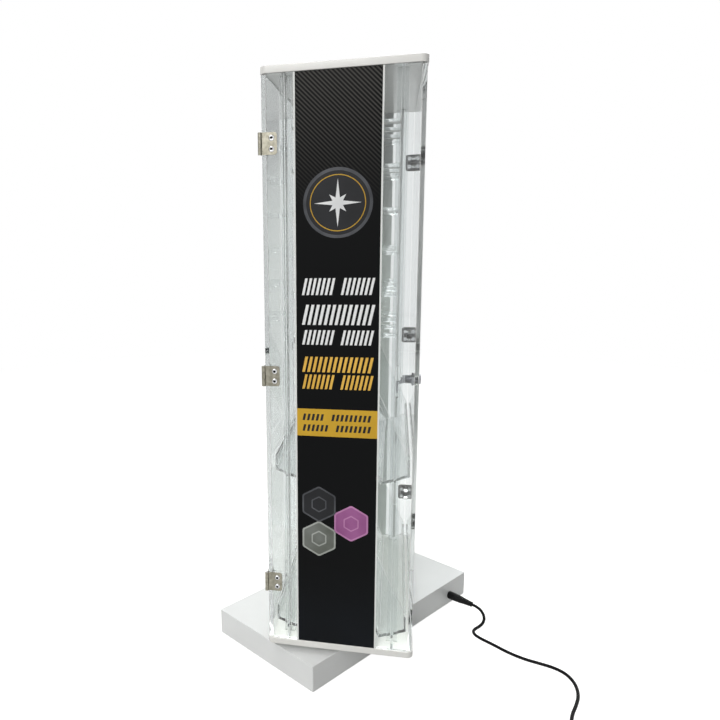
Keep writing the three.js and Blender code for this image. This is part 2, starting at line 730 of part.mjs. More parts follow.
// Holes for the hinge screws in a narrow panel and in a door
const screwHeights = hingeHeights.flatMap((height) => [
  height - screwPitch / 2, height + screwPitch / 2,
]);
const screwHoles = (near, far) => screwHeights.map(() => (
  rod(screwRadius + runGap, near - overrun, far + overrun, 8)
));
const panelHoles = screwHoles(panelInner, panelFace).map((hole, i) => (
  hole.rotateX(Math.PI / 2).translate(pinX + screwReach, 0, screwHeights[i])
));
const doorHoles = screwHoles(doorInner, doorFace).map((hole, i) => (
  hole.rotateY(-Math.PI / 2).translate(0, pinY + screwReach, screwHeights[i])
));
for (const { turn, face, door, near, far } of halves) {
  const half = new THREE.Group();
  half.rotation.z = turn;
  cabinet.add(half);

  // Narrow panel and its graphic
  piece(half, `${face}_panel`, cut(block(
    [-panelEdge, -panelFace, floorTop + seatGap],
    [panelEdge, -panelInner, ceiling - seatGap],
  ), ...panelHoles), clearAcrylic);
  piece(half, `${face}_graphic`, block(
    [signShift - signWidth / 2, -panelFace - seatGap - signThickness, floorTop + seatGap],
    [signShift + signWidth / 2, -panelFace - seatGap, ceiling - seatGap],
  ), printedVinyl);

  // Stiles at both ends of this side, pegs and trays
  piece(half, `stile_${near}`, stile(-1, false).rotateX(Math.PI)
    .translate(0, 0, floorTop + ceiling), clearAcrylic);
  piece(half, `stile_${far}`, stile(-1, true), clearAcrylic);
  for (let column = 0; column < pegColumns; column += 1) {
    const y = (column - (pegColumns - 1) / 2) * pegColumnPitch;
    piece(half, `peg_strip_${door}_${column + 1}`, pegStrip(y), clearAcrylic);
  }
  piece(half, `lower_tray_${door}`, tray(0), clearAcrylic);
  piece(half, `upper_tray_${door}`, tray(1), clearAcrylic);

  // Door with its lock hole
  const lockHole = rod(barrelRadius + runGap, doorInner - overrun, doorFace + overrun, 20);
  lockHole.rotateY(-Math.PI / 2);
  lockHole.translate(0, lockPlace, lockHeight);
  piece(half, `${door}_door`, cut(block(
    [-doorFace, -doorLength / 2, floorTop + doorPlateGap],
    [-doorInner, doorLength / 2, ceiling - doorPlateGap],
  ), lockHole, ...doorHoles), clearAcrylic);

  // Three butt hinges at the near corner
  hingeLevels.forEach((level, i) => {
    const place = [pinX, pinY, hingeHeights[i]];
    const frameLeaf = hingeLeaf(true).translate(...place);
    const doorLeaf = hingeLeaf(false).rotateZ(-Math.PI / 2).scale(1, -1, 1).translate(...place);
    piece(half, `${door}_hinge_${level}_frame_leaf`, frameLeaf, nickel);
    piece(half, `${door}_hinge_${level}_door_leaf`, doorLeaf, nickel);
  });

  // Lock barrel with its head and nut, and its hooked cam, at the far end of the door
  const barrel = rod(barrelRadius, -barrelLength, overrun, 20);
  const head = turned([
    [0, seatGap], [lockHeadRadius, seatGap], [lockHeadRadius, lockHeadThickness * lockHeadEdgeShare],
    [lockHeadRadius * lockHeadCrownShare, lockHeadThickness], [0, lockHeadThickness],
  ], 24);
  const nutTop = -doorThickness - seatGap;
  const nut = rod(lockNutFlats / Math.sqrt(3), nutTop - lockNutThickness, nutTop, 6);
  const lock = join(barrel, head, nut).rotateY(-Math.PI / 2);
  piece(half, `${door}_lock_barrel`, lock.translate(-doorFace, lockPlace, lockHeight), chrome);

  const hub = -camHub;
  const hook = hub + camBend;
  const slope = camDrop / camBend;
  const armRise = camThickness * Math.hypot(1, slope);
  const armTop = (along) => armRise - camWidth / 2 - slope * along;
  const cam = prismAlongY([
    [hub, camWidth / 2], [hub, -camWidth / 2], [hook, -camWidth / 2 - camDrop],
    [hook, -camReach], [hook + camThickness, -camReach],
    [hook + camThickness, armTop(camHook)], [hub + camThickness, armTop(camThickness)],
    [hub + camThickness, camWidth / 2],
  ], -camWidth / 2, camWidth / 2);
  const camScrew = rod(camScrewRadius, 0, camThickness + camScrewRise, 12).rotateY(Math.PI / 2);
  const camWhole = join(cam, camScrew.translate(hub + seatGap, 0, 0));
  piece(half, `${door}_lock_cam`, camWhole.translate(0, lockPlace, lockHeight), chrome);
}

// Plug in the socket, its axis square to the base's long side
const plug = join(
  turned([
    [0, runGap], [plugRadius, runGap], [plugRadius, plugGrip], [plugCollarRadius, plugBody],
    [plugNeckRadius, plugBody + overrun], [plugTailRadius, plugLength], [0, plugLength],
  ], 16),
  rod(plugTipRadius, -plugTipLength, overrun, 12),
);
plug.rotateY(Math.PI / 2);
plug.translate(baseWidth / 2, jackAlong, jackHeight);
piece(baseGroup, 'supply_plug', plug, blackPlastic);

// Cord from the plug to the coil, over the floor
const cordPoints = [
  [178.6, 28.9, 15.9], [183.8, 25.1, 15.4], [189.2, 20.2, 13.3], [192.4, 13.8, 10.2],
  [192.6, 6.8, 7.2], [189.7, 0.2, 4.6], [184.6, -5.6, 2.8], [179.2, -11.2, cordRest],
  [175.8, -18, cordRest], [176.8, -25.4, cordRest], [181.8, -32, cordRest],
  [189, -38.2, cordRest], [197, -44.4, cordRest], [215.6, -59.8, cordRest],
  [234, -70.6, cordRest], [251.8, -76.9, cordRest], [266.4, -82.6, cordRest],
  [277.6, -91.4, cordRest], [283.8, -104, cordRest], [285.6, -119, cordRest],
  [283.2, -136, cordRest], [276.8, -153, cordRest], [270, -168, cordRest],
  [265.2, -183, cordRest], [262.7, -198, cordRest], [262, -213, cordRest],
  [262, -226, cordRest], [262, -239.7, cordRest],
].map(([x, y, z]) => new THREE.Vector3(x, y, z));
const cordSection = new THREE.Shape();
cordSection.absarc(0, 0, cordRadius, 0, 2 * Math.PI);
const cordCurve = new THREE.CatmullRomCurve3(cordPoints, false, 'centripetal');
piece(cabinet, 'cord_run', new THREE.ExtrudeGeometry(cordSection, {
  steps: 56, curveSegments: 4, extrudePath: cordCurve, bevelEnabled: false,
}), blackPlastic);

// Coil: clockwise from the outside in on the floor, then out again one layer higher
const coilHalfSpread = coilTurnsPerLayer * coilPitch / 2;
const coilOuter = coilMiddleRadius + coilHalfSpread;
const coilInner = coilMiddleRadius - coilHalfSpread;
const coilStart = cordPoints.at(-1).clone();
coilStart.y -= runGap;
const coilLead = 2 * cordRadius;
const coilCentre = new THREE.Vector3(coilStart.x - coilOuter, coilStart.y - coilLead, 0);
function coilPoint(turns) {
  const fromTurn = Math.abs(turns - coilTurnsPerLayer);
  const radius = coilInner + fromTurn * coilPitch;
  const middle = coilTurnsPerLayer;
  const climb = THREE.MathUtils.smootherstep(turns, middle - coilClimb, middle + coilClimb);
  const angle = -2 * Math.PI * turns;
  const height = cordRest + coilLayerRise * climb;
  return new THREE.Vector3(
    coilCentre.x + radius * Math.cos(angle), coilCentre.y + radius * Math.sin(angle), height,
  );
}
const coilPoints = [coilStart];
const coilStepCount = Math.round(2 * coilTurnsPerLayer * coilSteps);
for (let i = 0; i <= coilStepCount; i += 1) {
  coilPoints.push(coilPoint(2 * coilTurnsPerLayer * i / coilStepCount));
}
const coilEnd = coilPoints.at(-1);
const tailShares = [0.1, 0.5, 0.9, 1];
tailShares.forEach((share, i) => {
  coilPoints.push(new THREE.Vector3(
    coilEnd.x - coilTail * (i + 1) / tailShares.length, coilEnd.y,
    THREE.MathUtils.lerp(coilEnd.z, adapterPortHeight, share),
  ));
});
piece(cabinet, 'cord_coil', tubeAlong(coilPoints, cordRadius, coilSides), blackPlastic);

// The least gap between two turns, and the cord's whole length
const coilGaps = [];
coilPoints.forEach((point, i) => {
  coilPoints.slice(i + coilSteps / 2).forEach((other) => {
    coilGaps.push(point.distanceTo(other) - 2 * cordRadius);
  });
});
const coilLength = new THREE.CatmullRomCurve3(coilPoints, false, 'centripetal').getLength();
console.log(`coil's least gap to itself ${Math.min(...coilGaps).toFixed(2)} mm`);
console.log(`cord length ${(cordCurve.getLength() + coilLength).toFixed(0)} mm`);

// Wall adapter lying by the coil, with its relief and two blades
function wallAdapter() {
  const body = roundedPlate(adapterLength, adapterWidth, adapterCorner, 0, adapterHeight);
  const relief = turned([
    [0, -overrun], [cordRadius * 2, -overrun], [cordRadius * 2, 0],
    [cordRadius + seatGap, adapterReliefLength], [0, adapterReliefLength],
  ], 12);
  relief.rotateY(Math.PI / 2);
  relief.translate(adapterLength / 2, 0, adapterPortHeight);
  const blades = [-1, 1].map((side) => block(
    [-adapterLength / 2 - bladeLength, side * bladePitch / 2 - bladeThickness / 2,
      adapterHeight / 2 - bladeWidth / 2],
    [-adapterLength / 2 + overrun, side * bladePitch / 2 + bladeThickness / 2,
      adapterHeight / 2 + bladeWidth / 2],
  ));
  return join(body, relief, ...blades);
}
const adapter = piece(cabinet, 'wall_adapter', wallAdapter(), blackPlastic);
adapter.position.set(
  coilPoints.at(-1).x - runGap - adapterReliefLength - adapterLength / 2, coilEnd.y, 0,
);

export default cabinet;
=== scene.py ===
import math

import bpy
import numpy as np
from mathutils import Matrix, Vector


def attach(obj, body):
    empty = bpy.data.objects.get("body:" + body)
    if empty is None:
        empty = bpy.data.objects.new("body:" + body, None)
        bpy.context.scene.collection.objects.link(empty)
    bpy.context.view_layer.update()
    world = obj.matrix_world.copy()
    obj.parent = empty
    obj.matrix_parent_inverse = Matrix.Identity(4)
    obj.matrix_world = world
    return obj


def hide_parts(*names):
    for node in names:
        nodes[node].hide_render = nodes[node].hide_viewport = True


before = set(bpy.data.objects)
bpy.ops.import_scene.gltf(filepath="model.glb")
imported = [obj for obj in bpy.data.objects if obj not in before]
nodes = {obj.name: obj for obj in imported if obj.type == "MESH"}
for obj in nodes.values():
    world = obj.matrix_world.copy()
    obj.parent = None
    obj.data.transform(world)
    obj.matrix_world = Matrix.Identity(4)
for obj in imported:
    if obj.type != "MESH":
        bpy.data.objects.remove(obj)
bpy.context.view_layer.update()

scene = bpy.context.scene
mm = 0.001
print("frame loaded:", len(nodes), "solids")

# The camera stands where the photograph was taken from: turned left of +Y, tipped down,
# with the picture cut off centre, which is the shift
cameraView = {
    "place": (0.0591, -0.9347, 0.5645),
    "heading": 0.2331,
    "tip": 0.1900,
    "roll": 0.0245,
    "lens": 34.03,
    "shift": 0.1736,
    "clipStart": 0.02,
}


def addObject(name, data):
    # an object of that data, linked to the scene
    linked = bpy.data.objects.new(name, data)
    scene.collection.objects.link(linked)
    return linked


def addCamera(view):
    # right is (cos a, sin a, 0), forward is (-sin a cos p, cos a cos p, -sin p), then rolled by r
    a, p, r = view["heading"], view["tip"], view["roll"]
    right = Vector((math.cos(a), math.sin(a), 0))
    forward = Vector((-math.sin(a) * math.cos(p), math.cos(a) * math.cos(p), -math.sin(p)))
    up = right.cross(forward)
    rolled = right * math.cos(r) - up * math.sin(r), right * math.sin(r) + up * math.cos(r)
    data = bpy.data.cameras.new("camera")
    data.lens = view["lens"]
    data.shift_x = view["shift"]
    data.clip_start = view["clipStart"]
    camera = addObject("camera", data)
    turn = Matrix((*rolled, -forward)).transposed()
    camera.matrix_world = Matrix.Translation(view["place"]) @ turn.to_4x4()
    scene.camera = camera


addCamera(cameraView)
print("camera placed")


def linear(text):
    # sRGB hex to linear: c / 12.92 up to 0.04045, above it ((c + 0.055) / 1.055) ** 2.4
    values = np.array([int(text[i:i + 2], 16) for i in (1, 3, 5)]) / 255
    low, high = values / 12.92, ((values + 0.055) / 1.055) ** 2.4
    return (*np.where(values <= 0.04045, low, high), 1.0)


def newMaterial(name):
    # an empty node tree under that name
    material = bpy.data.materials.new(name)
    material.use_nodes = True
    material.node_tree.nodes.clear()
    return material


def addNode(owner, kind, sockets=None, **settings):
    # one node with its settings. A socket gets a value or a link from another output, and a node
    # stands for its first output
    tree = owner.node_tree
    node = tree.nodes.new(kind)
    for name, value in settings.items():
        setattr(node, name, value)
    for name, value in (sockets or {}).items():
        if isinstance(value, bpy.types.Node):
            value = value.outputs[0]
        if isinstance(value, bpy.types.NodeSocket):
            tree.links.new(value, node.inputs[name])
        else:
            node.inputs[name].default_value = value
    return node


# Most values of a noise texture lie in this span
noiseSpan = {"From Min": 0.3, "From Max": 0.7}


def noiseField(material, cell, stretch=(1, 1, 1), detail=2.0):
    # noise on Object coordinates, a cell being `cell` millimetres before the stretch
    place = addNode(material, "ShaderNodeTexCoord").outputs["Object"]
    scaled = addNode(material, "ShaderNodeMapping", {"Vector": place, "Scale": stretch})
    return addNode(material, "ShaderNodeTexNoise", {
        "Vector": scaled, "Scale": 1000 / cell, "Detail": detail,
    })


def finishSurface(material, colour, recipe):
    # fine noise moves the roughness and the bump's height
    fine = noiseField(
        material, recipe["grain"], recipe.get("stretch", (1, 1, 1)), recipe.get("detail", 4.0),
    )
    low, high = recipe["roughness"]
    roughness = addNode(material, "ShaderNodeMapRange", {
        "Value": fine, **noiseSpan, "To Min": low, "To Max": high,
    })
    bump = addNode(material, "ShaderNodeBump", {
        "Height": fine, "Distance": recipe["relief"] * mm, "Strength": recipe.get("strength", 0.5),
    })
    shader = addNode(material, "ShaderNodeBsdfPrincipled", {
        "Base Color": colour, "Roughness": roughness, "Normal": bump,
        "Metallic": recipe.get("metallic", 0.0), **recipe.get("sockets", {}),
    })
    addNode(material, "ShaderNodeOutputMaterial", {"Surface": shader})
    return material


def solidFinish(name, recipe):
    # broad noise moves the colour from the first tone to the second
    material = newMaterial(name)
    share = addNode(material, "ShaderNodeMapRange", {
        "Value": noiseField(material, recipe["patch"]), **noiseSpan,
    })
    first, second = (linear(tone) for tone in recipe["colours"])
    colour = addNode(material, "ShaderNodeMix", {
        0: share, 6: first, 7: second,
    }, data_type="RGBA").outputs[2]
    return finishSurface(material, colour, recipe)


# Opaque finishes. Patches, grains and reliefs are in millimetres
finishes = {
    # extruded white acrylic sheet, polished: clean white with a sharp shine
    "whiteAcrylicSheet": {
        "colours": ("#ecece8", "#e7e7e4"), "patch": 90, "grain": 14,
        "roughness": (0.16, 0.24), "relief": 0.02, "sockets": {"IOR": 1.49},
    },
    # white PVC foam board with a calendered skin: satin, with a very fine pebble
    "foamBoardSkin": {
        "colours": ("#eaecec", "#e5e7e7"), "patch": 60, "grain": 1.6,
        "roughness": (0.34, 0.46), "relief": 0.03, "sockets": {"IOR": 1.5},
    },
    # nickel plated sheet steel, tumbled: warm grey with fine short scratches along its length
    "tumbledNickel": {
        "colours": ("#9b988b", "#7d7a6e"), "patch": 4, "grain": 0.9, "stretch": (1, 1, 0.25),
        "roughness": (0.28, 0.42), "relief": 0.02, "metallic": 1.0,
    },
    # bright chrome over polished brass: near mirror, with a few hazy spots
    "brightChrome": {
        "colours": ("#d4d5d6", "#c3c4c6"), "patch": 6, "grain": 1.4,
        "roughness": (0.06, 0.14), "relief": 0.004, "metallic": 1.0,
    },
    # chromed zinc die casting, softer than the polished screws; its darker tone is painted shade,
    # standing in for the dimmer surroundings that it reflects
    "paintedShadeChrome": {
        "colours": ("#a3a5a8", "#84868a"), "patch": 5, "grain": 1.1,
        "roughness": (0.1, 0.22), "relief": 0.008, "metallic": 1.0,
    },
    # zinc plated pressed steel: pale grey with a cloudy spangle
    "zincPlate": {
        "colours": ("#a9acad", "#8f9294"), "patch": 7, "grain": 1.2,
        "roughness": (0.3, 0.45), "relief": 0.01, "metallic": 1.0,
    },
    # moulded natural acetal: waxy cream white
    "naturalAcetal": {
        "colours": ("#e9e7df", "#e0ddd3"), "patch": 20, "grain": 1.5,
        "roughness": (0.3, 0.4), "relief": 0.01,
        "sockets": {"IOR": 1.48, "Subsurface Weight": 0.15, "Subsurface Scale": 0.002},
    },
    # spark eroded black ABS moulding: dull black with a pebble that catches the light
    "sparkErodedAbs": {
        "colours": ("#101011", "#171718"), "patch": 12, "grain": 0.6,
        "roughness": (0.42, 0.58), "relief": 0.05,
        "sockets": {"IOR": 1.54, "Specular IOR Level": 0.12},
    },
    # flexible PVC jacket, extruded: soft black sheen, slightly uneven along its length
    "cordJacket": {
        "colours": ("#0c0c0d", "#131314"), "patch": 14, "grain": 1.1,
        "roughness": (0.42, 0.55), "relief": 0.03,
        "sockets": {"IOR": 1.53, "Specular IOR Level": 0.07},
    },
    # moulded black rubber foot: matt, with a fine grain
    "mouldedRubber": {
        "colours": ("#232323", "#2c2c2b"), "patch": 8, "grain": 0.7,
        "roughness": (0.75, 0.9), "relief": 0.06, "sockets": {"IOR": 1.52},
    },
    # inside of a socket or keyway: painted shade, near black for the shade down in the hole
    "darkRecess": {
        "colours": ("#09090a", "#101011"), "patch": 2, "grain": 0.4,
        "roughness": (0.6, 0.8), "relief": 0.01, "sockets": {"Specular IOR Level": 0.1},
    },
    # woven nylon hook and loop tape: dull black with a visible 0.8 mm weave
    "nylonTape": {
        "colours": ("#1a1a1c", "#2b2b2e"), "patch": 0.8, "grain": 0.5,
        "roughness": (0.7, 0.9), "relief": 0.15,
    },
    # flat dark grey pad under a hinge leaf: painted shade for the leaf's back seen through the
    # sheet
    "paintedShadePad": {
        "colours": ("#3d3d3b", "#333332"), "patch": 6, "grain": 0.8,
        "roughness": (0.5, 0.65), "relief": 0.01, "sockets": {"Specular IOR Level": 0.2},
    },
    # nickel plated brass blades of the adapter
    "bladePlating": {
        "colours": ("#c6c2b6", "#b5b0a2"), "patch": 5, "grain": 0.7,
        "roughness": (0.2, 0.32), "relief": 0.01, "metallic": 1.0,
    },
}
made = {name: solidFinish(name, recipe) for name, recipe in finishes.items()}

# Cast acrylic sheet: clear with a faint grey green body, softly wavy faces and a few smudges.
# Lamps pass it as through a thin tinted pane, so that what stands in it stays lit
castAcrylic = {
    "body": "#f0f2f2",
    "clear": 1.0,
    "depthColour": "#a9b0ae",
    "depthDensity": 2.4,
    "lampTint": "#fcfdfc",
    "ior": 1.491,
    "smudge": 45, "smudgeSpan": (0.45, 0.75), "smudgeDetail": 5.0,
    "roughness": (0.008, 0.045),
    "wave": 120, "waveDetail": 1.0, "waveHeight": 0.012,
}
# The sheets' sharp arrises are scraped to a fine frosted chamfer, which draws a pale line
scrapedArris = {**castAcrylic, "body": "#ffffff", "clear": 0.35, "roughness": (0.3, 0.5)}


def clearSheet(name, recipe):
    # roughness from smudge noise, a slow bump from wave noise, transparent to shadow rays, and
    # grey-green where one looks along a sheet: light falls by exp(-density (1 - colour) length)
    material = newMaterial(name)
    smudge = noiseField(material, recipe["smudge"], detail=recipe["smudgeDetail"])
    wave = noiseField(material, recipe["wave"], detail=recipe["waveDetail"])
    start, end = recipe["smudgeSpan"]
    low, high = recipe["roughness"]
    roughness = addNode(material, "ShaderNodeMapRange", {
        "Value": smudge, "From Min": start, "From Max": end, "To Min": low, "To Max": high,
    })
    bump = addNode(material, "ShaderNodeBump", {
        "Height": wave, "Distance": recipe["waveHeight"] * mm, "Strength": 1.0,
    })
    glass = addNode(material, "ShaderNodeBsdfPrincipled", {
        "Base Color": linear(recipe["body"]), "Roughness": roughness, "Normal": bump,
        "IOR": recipe["ior"], "Transmission Weight": recipe["clear"],
    })
    pane = addNode(material, "ShaderNodeBsdfTransparent", {"Color": linear(recipe["lampTint"])})
    lamp = addNode(material, "ShaderNodeLightPath").outputs["Is Shadow Ray"]
    both = addNode(material, "ShaderNodeMixShader", {0: lamp, 1: glass, 2: pane})
    depth = addNode(material, "ShaderNodeVolumeAbsorption", {
        "Color": linear(recipe["depthColour"]), "Density": recipe["depthDensity"],
    })
    addNode(material, "ShaderNodeOutputMaterial", {"Surface": both, "Volume": depth})
    return material


made["castAcrylic"] = clearSheet("castAcrylic", castAcrylic)
made["scrapedArris"] = clearSheet("scrapedArris", scrapedArris)

# Printed vinyl on each narrow face. Across is measured to the right as one faces it, and up
# from the floor, both in millimetres
signPrint = {
    "middle": -3.85,
    "blackHalf": 46.4,
    "filmDepth": 164.4,
    "black": "#090a0b", "weave": "#4b4a47", "foot": "#14181d", "margin": "#eef0ee",
    "stripe": 4.83, "stripeSlope": 1.0, "waveSpan": (-0.3, 0.7),
    "weaveTop": 729, "weaveEnd": 588, "footSpan": (160.0, 80.0),
    "cloud": 60, "grain": 2.2, "detail": 3.0,
    "roughness": (0.4, 0.52), "relief": 0.02, "strength": 0.4,
    "sockets": {"Specular IOR Level": 0.07},
}


def vinylPrint(name, recipe):
    # stripes: a wave along up + slope x across, fading down the sheet. Ink lies within blackHalf
    # of the middle and on the face, which is further than filmDepth from the middle plane
    material = newMaterial(name)
    place = addNode(material, "ShaderNodeTexCoord").outputs["Object"]
    scaled = addNode(material, "ShaderNodeVectorMath", {
        0: place, "Scale": 1 / mm,
    }, operation="SCALE")
    x, y, up = addNode(material, "ShaderNodeSeparateXYZ", {0: scaled}).outputs
    face = addNode(material, "ShaderNodeMath", {0: y}, operation="SIGN")
    back = addNode(material, "ShaderNodeMath", {0: face, 1: -1}, operation="MULTIPLY")
    across = addNode(material, "ShaderNodeMath", {0: x, 1: back}, operation="MULTIPLY")
    slanted = addNode(material, "ShaderNodeMath", {
        0: across, 1: recipe["stripeSlope"], 2: up,
    }, operation="MULTIPLY_ADD")
    phase = addNode(material, "ShaderNodeMath", {
        0: slanted, 1: 2 * math.pi / recipe["stripe"],
    }, operation="MULTIPLY")
    wave = addNode(material, "ShaderNodeMath", {0: phase}, operation="SINE")
    stripe = addNode(material, "ShaderNodeMapRange", {
        "Value": wave, "From Min": recipe["waveSpan"][0], "From Max": recipe["waveSpan"][1],
    }, interpolation_type="SMOOTHSTEP")
    fade = addNode(material, "ShaderNodeMapRange", {
        "Value": up, "From Min": recipe["weaveEnd"], "From Max": recipe["weaveTop"],
    })
    woven = addNode(material, "ShaderNodeMath", {0: stripe, 1: fade}, operation="MULTIPLY")
    foot = addNode(material, "ShaderNodeMapRange", {
        "Value": up, "From Min": recipe["footSpan"][0], "From Max": recipe["footSpan"][1],
    })
    cloud = noiseField(material, recipe["cloud"], detail=recipe["detail"])
    smoky = addNode(material, "ShaderNodeMath", {0: foot, 1: cloud}, operation="MULTIPLY")
    ground = addNode(material, "ShaderNodeMix", {
        0: smoky, 6: linear(recipe["black"]), 7: linear(recipe["foot"]),
    }, data_type="RGBA").outputs[2]
    printed = addNode(material, "ShaderNodeMix", {
        0: woven, 6: ground, 7: linear(recipe["weave"]),
    }, data_type="RGBA").outputs[2]
    within = addNode(material, "ShaderNodeMath", {
        0: across, 1: recipe["middle"], 2: recipe["blackHalf"],
    }, operation="COMPARE")
    behind = addNode(material, "ShaderNodeMath", {
        0: y, 1: 0, 2: recipe["filmDepth"],
    }, operation="COMPARE")
    inked = addNode(
        material, "ShaderNodeMath", {0: within, 1: behind}, operation="SUBTRACT", use_clamp=True,
    )
    colour = addNode(material, "ShaderNodeMix", {
        0: inked, 6: linear(recipe["margin"]), 7: printed,
    }, data_type="RGBA").outputs[2]
    return finishSurface(material, colour, recipe)


made["vinylPrint"] = vinylPrint("vinylPrint", signPrint)

# Screen inks laid on the vinyl: satin, each between two tones
inkFinish = {
    "patch": 26, "grain": 2.0, "roughness": (0.4, 0.5), "relief": 0.01,
    "sockets": {"Specular IOR Level": 0.2},
}
inks = {
    "inkSilver": ("#fafbfb", "#dcdfe0"),
    "inkPewter": ("#5c5e62", "#3c3e42"),
    "inkGraphite": ("#232427", "#1a1b1d"),
    "inkGold": ("#cfa73c", "#b98f2c"),
    "inkBand": ("#dbb039", "#d0a534"),
    "inkWhite": ("#f7f8f8", "#f0f1f1"),
    "inkAmber": ("#f3c35a", "#e4b34e"),
    "inkMauve": ("#a5659a", "#8e5183"),
    "inkMauvePale": ("#c58ab9", "#b57aa9"),
    "inkSteel": ("#7f837f", "#62665f"),
    "inkSteelPale": ("#b6bab5", "#a1a5a0"),
}
for name, tones in inks.items():
    made[name] = solidFinish(name, {"colours": tones, **inkFinish})
print("materials made:", len(made))


def gridQuads(rows, columns):
    # quads between neighbouring rows of points, with the last column joined to the first
    row, column = np.meshgrid(np.arange(rows - 1), np.arange(columns), indexing="ij")
    here, after = row * columns + column, row * columns + (column + 1) % columns
    return np.stack((here, after, after + columns, here + columns), -1).reshape(-1, 4)


def turnedPart(profile, segments, material, capped=True, corners=0):
    # radius and height turned about Z: (r cos t, r sin t, z). With corners n the marked rings
    # are polygons, r cos(pi/n) / cos((t mod 2pi/n) - pi/n)
    profile = np.array(profile, float)
    turn = np.linspace(0, 2 * np.pi, segments, endpoint=False)
    radius = np.repeat(profile[:, :1], segments, axis=1)
    if corners:
        flat = np.cos(np.pi / corners) / np.cos(turn % (2 * np.pi / corners) - np.pi / corners)
        radius = np.where(profile[:, 2:3] > 0, radius * flat, radius)
    points = np.stack((
        radius * np.cos(turn), radius * np.sin(turn), np.repeat(profile[:, 1:2], segments, axis=1),
    ), -1).reshape(-1, 3)
    faces = gridQuads(len(profile), segments).tolist()
    if capped:
        last = (len(profile) - 1) * segments
        faces += [list(range(segments))[::-1], list(range(last, last + segments))]
    return points, faces, material


def hexagonPart(profile, material):
    # an open turned part whose marked rings are hexagons, with four points to each side
    return turnedPart(profile, 24, material, capped=False, corners=6)


def slabPart(outline, low, high, material):
    # a flat outline in X and Y carried straight up from low to high, closed by two caps
    outline = np.array(outline, float)
    count = len(outline)
    floor = np.column_stack((outline, np.full(count, low)))
    roof = np.column_stack((outline, np.full(count, high)))
    faces = gridQuads(2, count).tolist()
    faces += [list(range(count))[::-1], list(range(count, 2 * count))]
    return np.vstack((floor, roof)), faces, material


def tubePart(path, radius, sides, material):
    # a circle of that radius on each point, square to the path, which stays near level
    along = np.gradient(path, axis=0)
    along /= np.linalg.norm(along, axis=1, keepdims=True)
    side = np.cross(along, (0, 0, 1))
    side /= np.linalg.norm(side, axis=1, keepdims=True)
    over = np.cross(side, along)
    turn = np.linspace(0, 2 * np.pi, sides, endpoint=False)
    ring = side[:, None] * np.cos(turn)[:, None] + over[:, None] * np.sin(turn)[:, None]
    points = (path[:, None] + radius * ring).reshape(-1, 3)
    faces = gridQuads(len(path), sides)[:, ::-1].tolist()
    last = (len(path) - 1) * sides
    faces += [list(range(sides)), list(range(last, last + sides))[::-1]]
    return points, faces, material


def rectangle(left, right, low, high):
    # its corners run left about
    return [(left, low), (right, low), (right, high), (left, high)]


def roundedOutline(corners, radius, steps):
    # each corner becomes an arc of that radius, tangent to both its sides; corners run left about
    corners = np.array(corners, float)
    radius = np.broadcast_to(np.array(radius, float), len(corners))
    before = np.roll(corners, 1, axis=0) - corners
    after = np.roll(corners, -1, axis=0) - corners
    before /= np.linalg.norm(before, axis=1, keepdims=True)
    after /= np.linalg.norm(after, axis=1, keepdims=True)
    half = np.arccos(np.clip((before * after).sum(1), -1, 1)) / 2
    middle = before + after
    middle /= np.linalg.norm(middle, axis=1, keepdims=True)
    centre = corners + middle * (radius / np.sin(half))[:, None]
    swing = np.pi / 2 - half
    start = np.arctan2(-middle[:, 1], -middle[:, 0])
    turn = start[:, None] + swing[:, None] * np.linspace(-1, 1, steps)
    arc = np.stack((np.cos(turn), np.sin(turn)), -1) * radius[:, None, None]
    return (centre[:, None] + arc).reshape(-1, 2)


def moved(part, axes=((1, 0, 0), (0, 1, 0), (0, 0, 1)), origin=(0, 0, 0)):
    # p becomes origin + x X + y Y + z Z, with faces reversed where the axes are left-handed
    points, faces, material = part
    axes = np.array(axes, float)
    if np.linalg.det(axes) < 0:
        faces = [face[::-1] for face in faces]
    return points @ axes + np.array(origin, float), faces, material


def buildPiece(name, parts, body, replaced=(), rounding=0.0, smooth=True):
    # parts given in millimetres become one mesh in metres at the origin, with a slot for each of
    # their materials
    start, points, faces, shown = 0, [], [], []
    materials = list(dict.fromkeys(part[2] for part in parts))
    for partPoints, partFaces, material in parts:
        points.append(partPoints)
        faces += [[corner + start for corner in face] for face in partFaces]
        shown += [materials.index(material)] * len(partFaces)
        start += len(partPoints)
    mesh = bpy.data.meshes.new(name)
    mesh.from_pydata((np.vstack(points) * mm).tolist(), [], faces)
    for material in materials:
        mesh.materials.append(made[material])
    mesh.polygons.foreach_set("material_index", shown)
    mesh.polygons.foreach_set("use_smooth", [smooth] * len(faces))
    mesh.validate()
    mesh.update()
    piece = addObject(name, mesh)
    if rounding:
        softenEdges(piece, rounding)
    elif smooth:
        splitSharp(piece)
    if replaced:
        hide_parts(*replaced)
    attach(piece, body)
    return piece


# The clean-up that every mesh gets: angles in degrees, the weld's reach in millimetres
cleanUp = {
    "bevelFrom": 30,
    "bevelSegments": 2,
    "faceWeight": 100,
    "splitFrom": 35,
    "weldWithin": 0.002,
    "flatWithin": 1,
}


def softenEdges(piece, width, arris=None):
    # a bevel that wide on sharp edges, with a finish of its own where one is named
    bevel = piece.modifiers.new("edgeRounding", "BEVEL")
    if arris:
        piece.data.materials.append(made[arris])
        bevel.material = len(piece.data.materials) - 1
    bevel.width = width * mm
    bevel.segments = cleanUp["bevelSegments"]
    bevel.limit_method = "ANGLE"
    bevel.angle_limit = math.radians(cleanUp["bevelFrom"])
    # broad faces keep their own normals, so that clear sheets show what lies behind undistorted
    shading = piece.modifiers.new("flatFaces", "WEIGHTED_NORMAL")
    shading.weight = cleanUp["faceWeight"]


def splitSharp(piece):
    # shading breaks at sharp edges, where a bevel would be too fine to see
    split = piece.modifiers.new("sharpEdges", "EDGE_SPLIT")
    split.split_angle = math.radians(cleanUp["splitFrom"])


